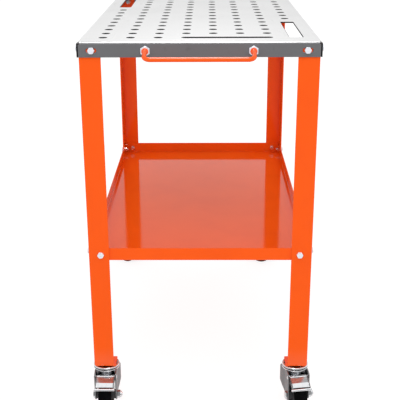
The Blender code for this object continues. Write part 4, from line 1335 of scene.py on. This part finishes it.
class WELDING_TABLE_OT_caster_mounts(bpy.types.Operator):
    """Builds the casters' bowls, stems, nuts and ball rings"""

    bl_idname = "welding_table.caster_mounts"
    bl_label = "Caster mounts"

    def execute(self, context):
        sizes = context.scene.welding_table_casters
        above = (0, 0, context.scene.welding_table_frame.foot_sheet + GAP)
        # The second finish is the dark chrome copy, painted shade
        plated = (bright_chrome(), shaded_brushed_chrome())
        # The cage's dark finish is painted shade
        balls_and_shaded_cage = (bright_chrome(), dark_nylon())
        add_at_casters("mount", mount_mesh(sizes), plated, "table", "caster_stem")
        add_at_casters("stem_lock", stem_nut_mesh(sizes), (zinc_plate(),), "table", "stem_nut", above)
        add_at_casters("ball_ring", balls_mesh(sizes), balls_and_shaded_cage, "fork", "bearing_ring")
        return {"FINISHED"}


class WELDING_TABLE_OT_forks(bpy.types.Operator):
    """Builds the casters' forks and axle bolts"""

    bl_idname = "welding_table.forks"
    bl_label = "Forks and axles"

    def execute(self, context):
        sizes = context.scene.welding_table_casters
        centre = axle_shift(sizes)
        # The second finish is the dark chrome copy, painted shade
        plated = (bright_chrome(), shaded_brushed_chrome())
        add_at_casters("caster_fork", fork_mesh(sizes), plated, "fork", "fork")
        add_at_casters("axle_set", axle_mesh(sizes), (bright_chrome(),), "fork", "axle_bolt", centre)
        return {"FINISHED"}


class WELDING_TABLE_OT_wheels(bpy.types.Operator):
    """Builds the casters' hubs and treads"""

    bl_idname = "welding_table.wheels"
    bl_label = "Wheels"

    def execute(self, context):
        sizes = context.scene.welding_table_casters
        centre = axle_shift(sizes)
        add_at_casters("wheel_core", hub_mesh(sizes), (dark_nylon(),), "wheel", "wheel_hub", centre)
        add_at_casters("wheel_tread", tread_mesh(sizes), (black_rubber(),), "wheel", "tyre", centre)
        return {"FINISHED"}


class WELDING_TABLE_OT_pedals(bpy.types.Operator):
    """Builds the casters' brake pedals"""

    bl_idname = "welding_table.pedals"
    bl_label = "Brake pedals"

    def execute(self, context):
        mesh = pedal_mesh(context.scene.welding_table_casters)
        # The second and third finishes are darkened chrome copies: painted shade
        finishes = (bright_chrome(), shaded_pedal_plate(), shaded_brushed_chrome())
        add_at_casters("brake_step", mesh, finishes, "pedal", "brake_pedal")
        return {"FINISHED"}


# Stage


def background_rays(start):
    """The rays that show the background as the camera does, with those through glass, and mirrored ones."""
    kinds = ("Camera", "Transmission", "Glossy")
    camera, glass, mirrored = (start.node("ShaderNodeLightPath", output=f"Is {kind} Ray") for kind in kinds)
    return camera + glass, mirrored


@made_once
def studio_floor(start):
    """A pale floor. The camera sees it lifted to white, and mirrors see it dim in front of the table."""
    seen, mirrored = background_rays(start)
    front = 1 - start.along("Y").smooth(-0.72, -0.63)
    darker = 0.70 * seen + mirrored * (0.50 + 0.22 * front)
    lift = 0.84 * seen + 0.50 * mirrored * (1 - front)
    return {
        "Base Color": darker.blend(bpy.context.scene.welding_table_stage.floor, (0, 0, 0)),
        "Roughness": 0.9,
        "Specular IOR Level": 0.0,
        "Emission Color": lift.blend((0, 0, 0), (1, 1, 1)),
        "Emission Strength": 1.0,
    }


def studio_world(scene):
    """Soft light from all round. The camera sees it as white. Mirrors see it white at the rear, low down,
    softer higher up and dim behind the camera."""
    world = bpy.data.worlds.new("studio")
    scene.world = world
    world.use_nodes = True
    world.node_tree.nodes.clear()
    start = Shade(world.node_tree)
    mirrored = background_rays(start)[1]
    rear = start.along("Y", "Generated").smooth(-0.95, -0.55)
    height = start.along("Z", "Generated")
    overhead = height.smooth(0.78, 0.96)
    walls = rear * (1 - 0.44 * height.smooth(0.20, 0.36)) * (1 - overhead)
    level = 1 - 0.80 * mirrored * (1 - walls - overhead)
    tint = level.blend((0, 0, 0), (1, 1, 1))
    light = start.node("ShaderNodeBackground", None, {"Color": tint, "Strength": 1.0})
    start.node("ShaderNodeOutputWorld", None, {"Surface": light})


def add_softbox(scene, name, place, target, size, power):
    lamp = bpy.data.lights.new(name, "AREA")
    lamp.shape = "RECTANGLE"
    lamp.size, lamp.size_y = size
    lamp.energy = power
    holder = bpy.data.objects.new(name, lamp)
    holder.location = place
    holder.rotation_euler = (Vector(target) - Vector(place)).to_track_quat("-Z", "Y").to_euler()
    scene.collection.objects.link(holder)
    return holder


def add_floor(scene):
    shape = bmesh.new()
    bmesh.ops.create_grid(shape, x_segments=8, y_segments=8, size=40.0)
    floor = bpy.data.objects.new("studio_floor", to_mesh("studio_floor", shape))
    clear = 0.0004
    floor.location.z = CAD_BOX[0].z - clear
    floor.data.materials.append(studio_floor())
    scene.collection.objects.link(floor)


def add_camera(scene, sizes):
    camera = bpy.data.cameras.new("photo_camera")
    camera.lens = sizes.lens
    camera.sensor_width = 36.0
    camera.clip_end = 200.0
    holder = bpy.data.objects.new("photo_camera", camera)
    scene.collection.objects.link(holder)
    level = math.cos(sizes.pitch)
    forward = Vector((math.sin(sizes.yaw) * level, math.cos(sizes.yaw) * level, -math.sin(sizes.pitch)))
    flat_right = Vector((math.cos(sizes.yaw), -math.sin(sizes.yaw), 0))
    flat_down = forward.cross(flat_right)
    right = math.cos(sizes.roll) * flat_right + math.sin(sizes.roll) * flat_down
    down = math.cos(sizes.roll) * flat_down - math.sin(sizes.roll) * flat_right
    turn = Matrix((right, -down, -forward)).transposed().to_4x4()
    holder.matrix_world = Matrix.Translation(SURFACE + Vector(sizes.stand)) @ turn
    scene.camera = holder


class WELDING_TABLE_OT_stage(bpy.types.Operator):
    """Sets the floor, the studio light and the camera"""

    bl_idname = "welding_table.stage"
    bl_label = "Stage"

    def execute(self, context):
        scene = context.scene
        scene.view_settings.view_transform = "Standard"
        add_floor(scene)
        studio_world(scene)
        key_place, key_target = (0.3, -2.8, 3.4), (0, 0, 0.5)
        add_softbox(scene, "key_softbox", key_place, key_target, size=(3.0, 2.0), power=26.0)
        strip_place, strip_target = (0, -0.35, 1.65), (0, -0.35, 0.85)
        strip = add_softbox(scene, "strip_softbox", strip_place, strip_target, size=(0.34, 1.2), power=10.0)
        strip.visible_diffuse = False
        strip.visible_camera = False
        add_camera(scene, scene.welding_table_stage)
        return {"FINISHED"}


OPERATORS = (
    WELDING_TABLE_OT_stage,
    WELDING_TABLE_OT_worktop,
    WELDING_TABLE_OT_legs,
    WELDING_TABLE_OT_shelf,
    WELDING_TABLE_OT_handle,
    WELDING_TABLE_OT_bolts,
    WELDING_TABLE_OT_caster_mounts,
    WELDING_TABLE_OT_forks,
    WELDING_TABLE_OT_wheels,
    WELDING_TABLE_OT_pedals,
)


class VIEW3D_PT_welding_table(bpy.types.Panel):
    """Lists the steps that build the table and their sizes"""

    bl_label = "Welding table"
    bl_idname = "VIEW3D_PT_welding_table"
    bl_space_type = "VIEW_3D"
    bl_region_type = "UI"
    bl_category = "Welding table"

    def draw(self, context):
        for operator in OPERATORS:
            self.layout.operator(operator.bl_idname)
        for name, group in SETTINGS.items():
            box = self.layout.box()
            box.label(text=group.__doc__)
            for key in group.__annotations__:
                box.prop(getattr(context.scene, name), key)


CLASSES = (*SETTINGS.values(), *OPERATORS, VIEW3D_PT_welding_table)


def register():
    for kind in CLASSES:
        bpy.utils.register_class(kind)
    for name, group in SETTINGS.items():
        setattr(bpy.types.Scene, name, PointerProperty(type=group))


def unregister():
    for name in SETTINGS:
        delattr(bpy.types.Scene, name)
    for kind in reversed(CLASSES):
        bpy.utils.unregister_class(kind)


def main():
    register()
    for operator in OPERATORS:
        group, step = operator.bl_idname.split(".")
        getattr(getattr(bpy.ops, group), step)()


if __name__ == "__main__":
    main()
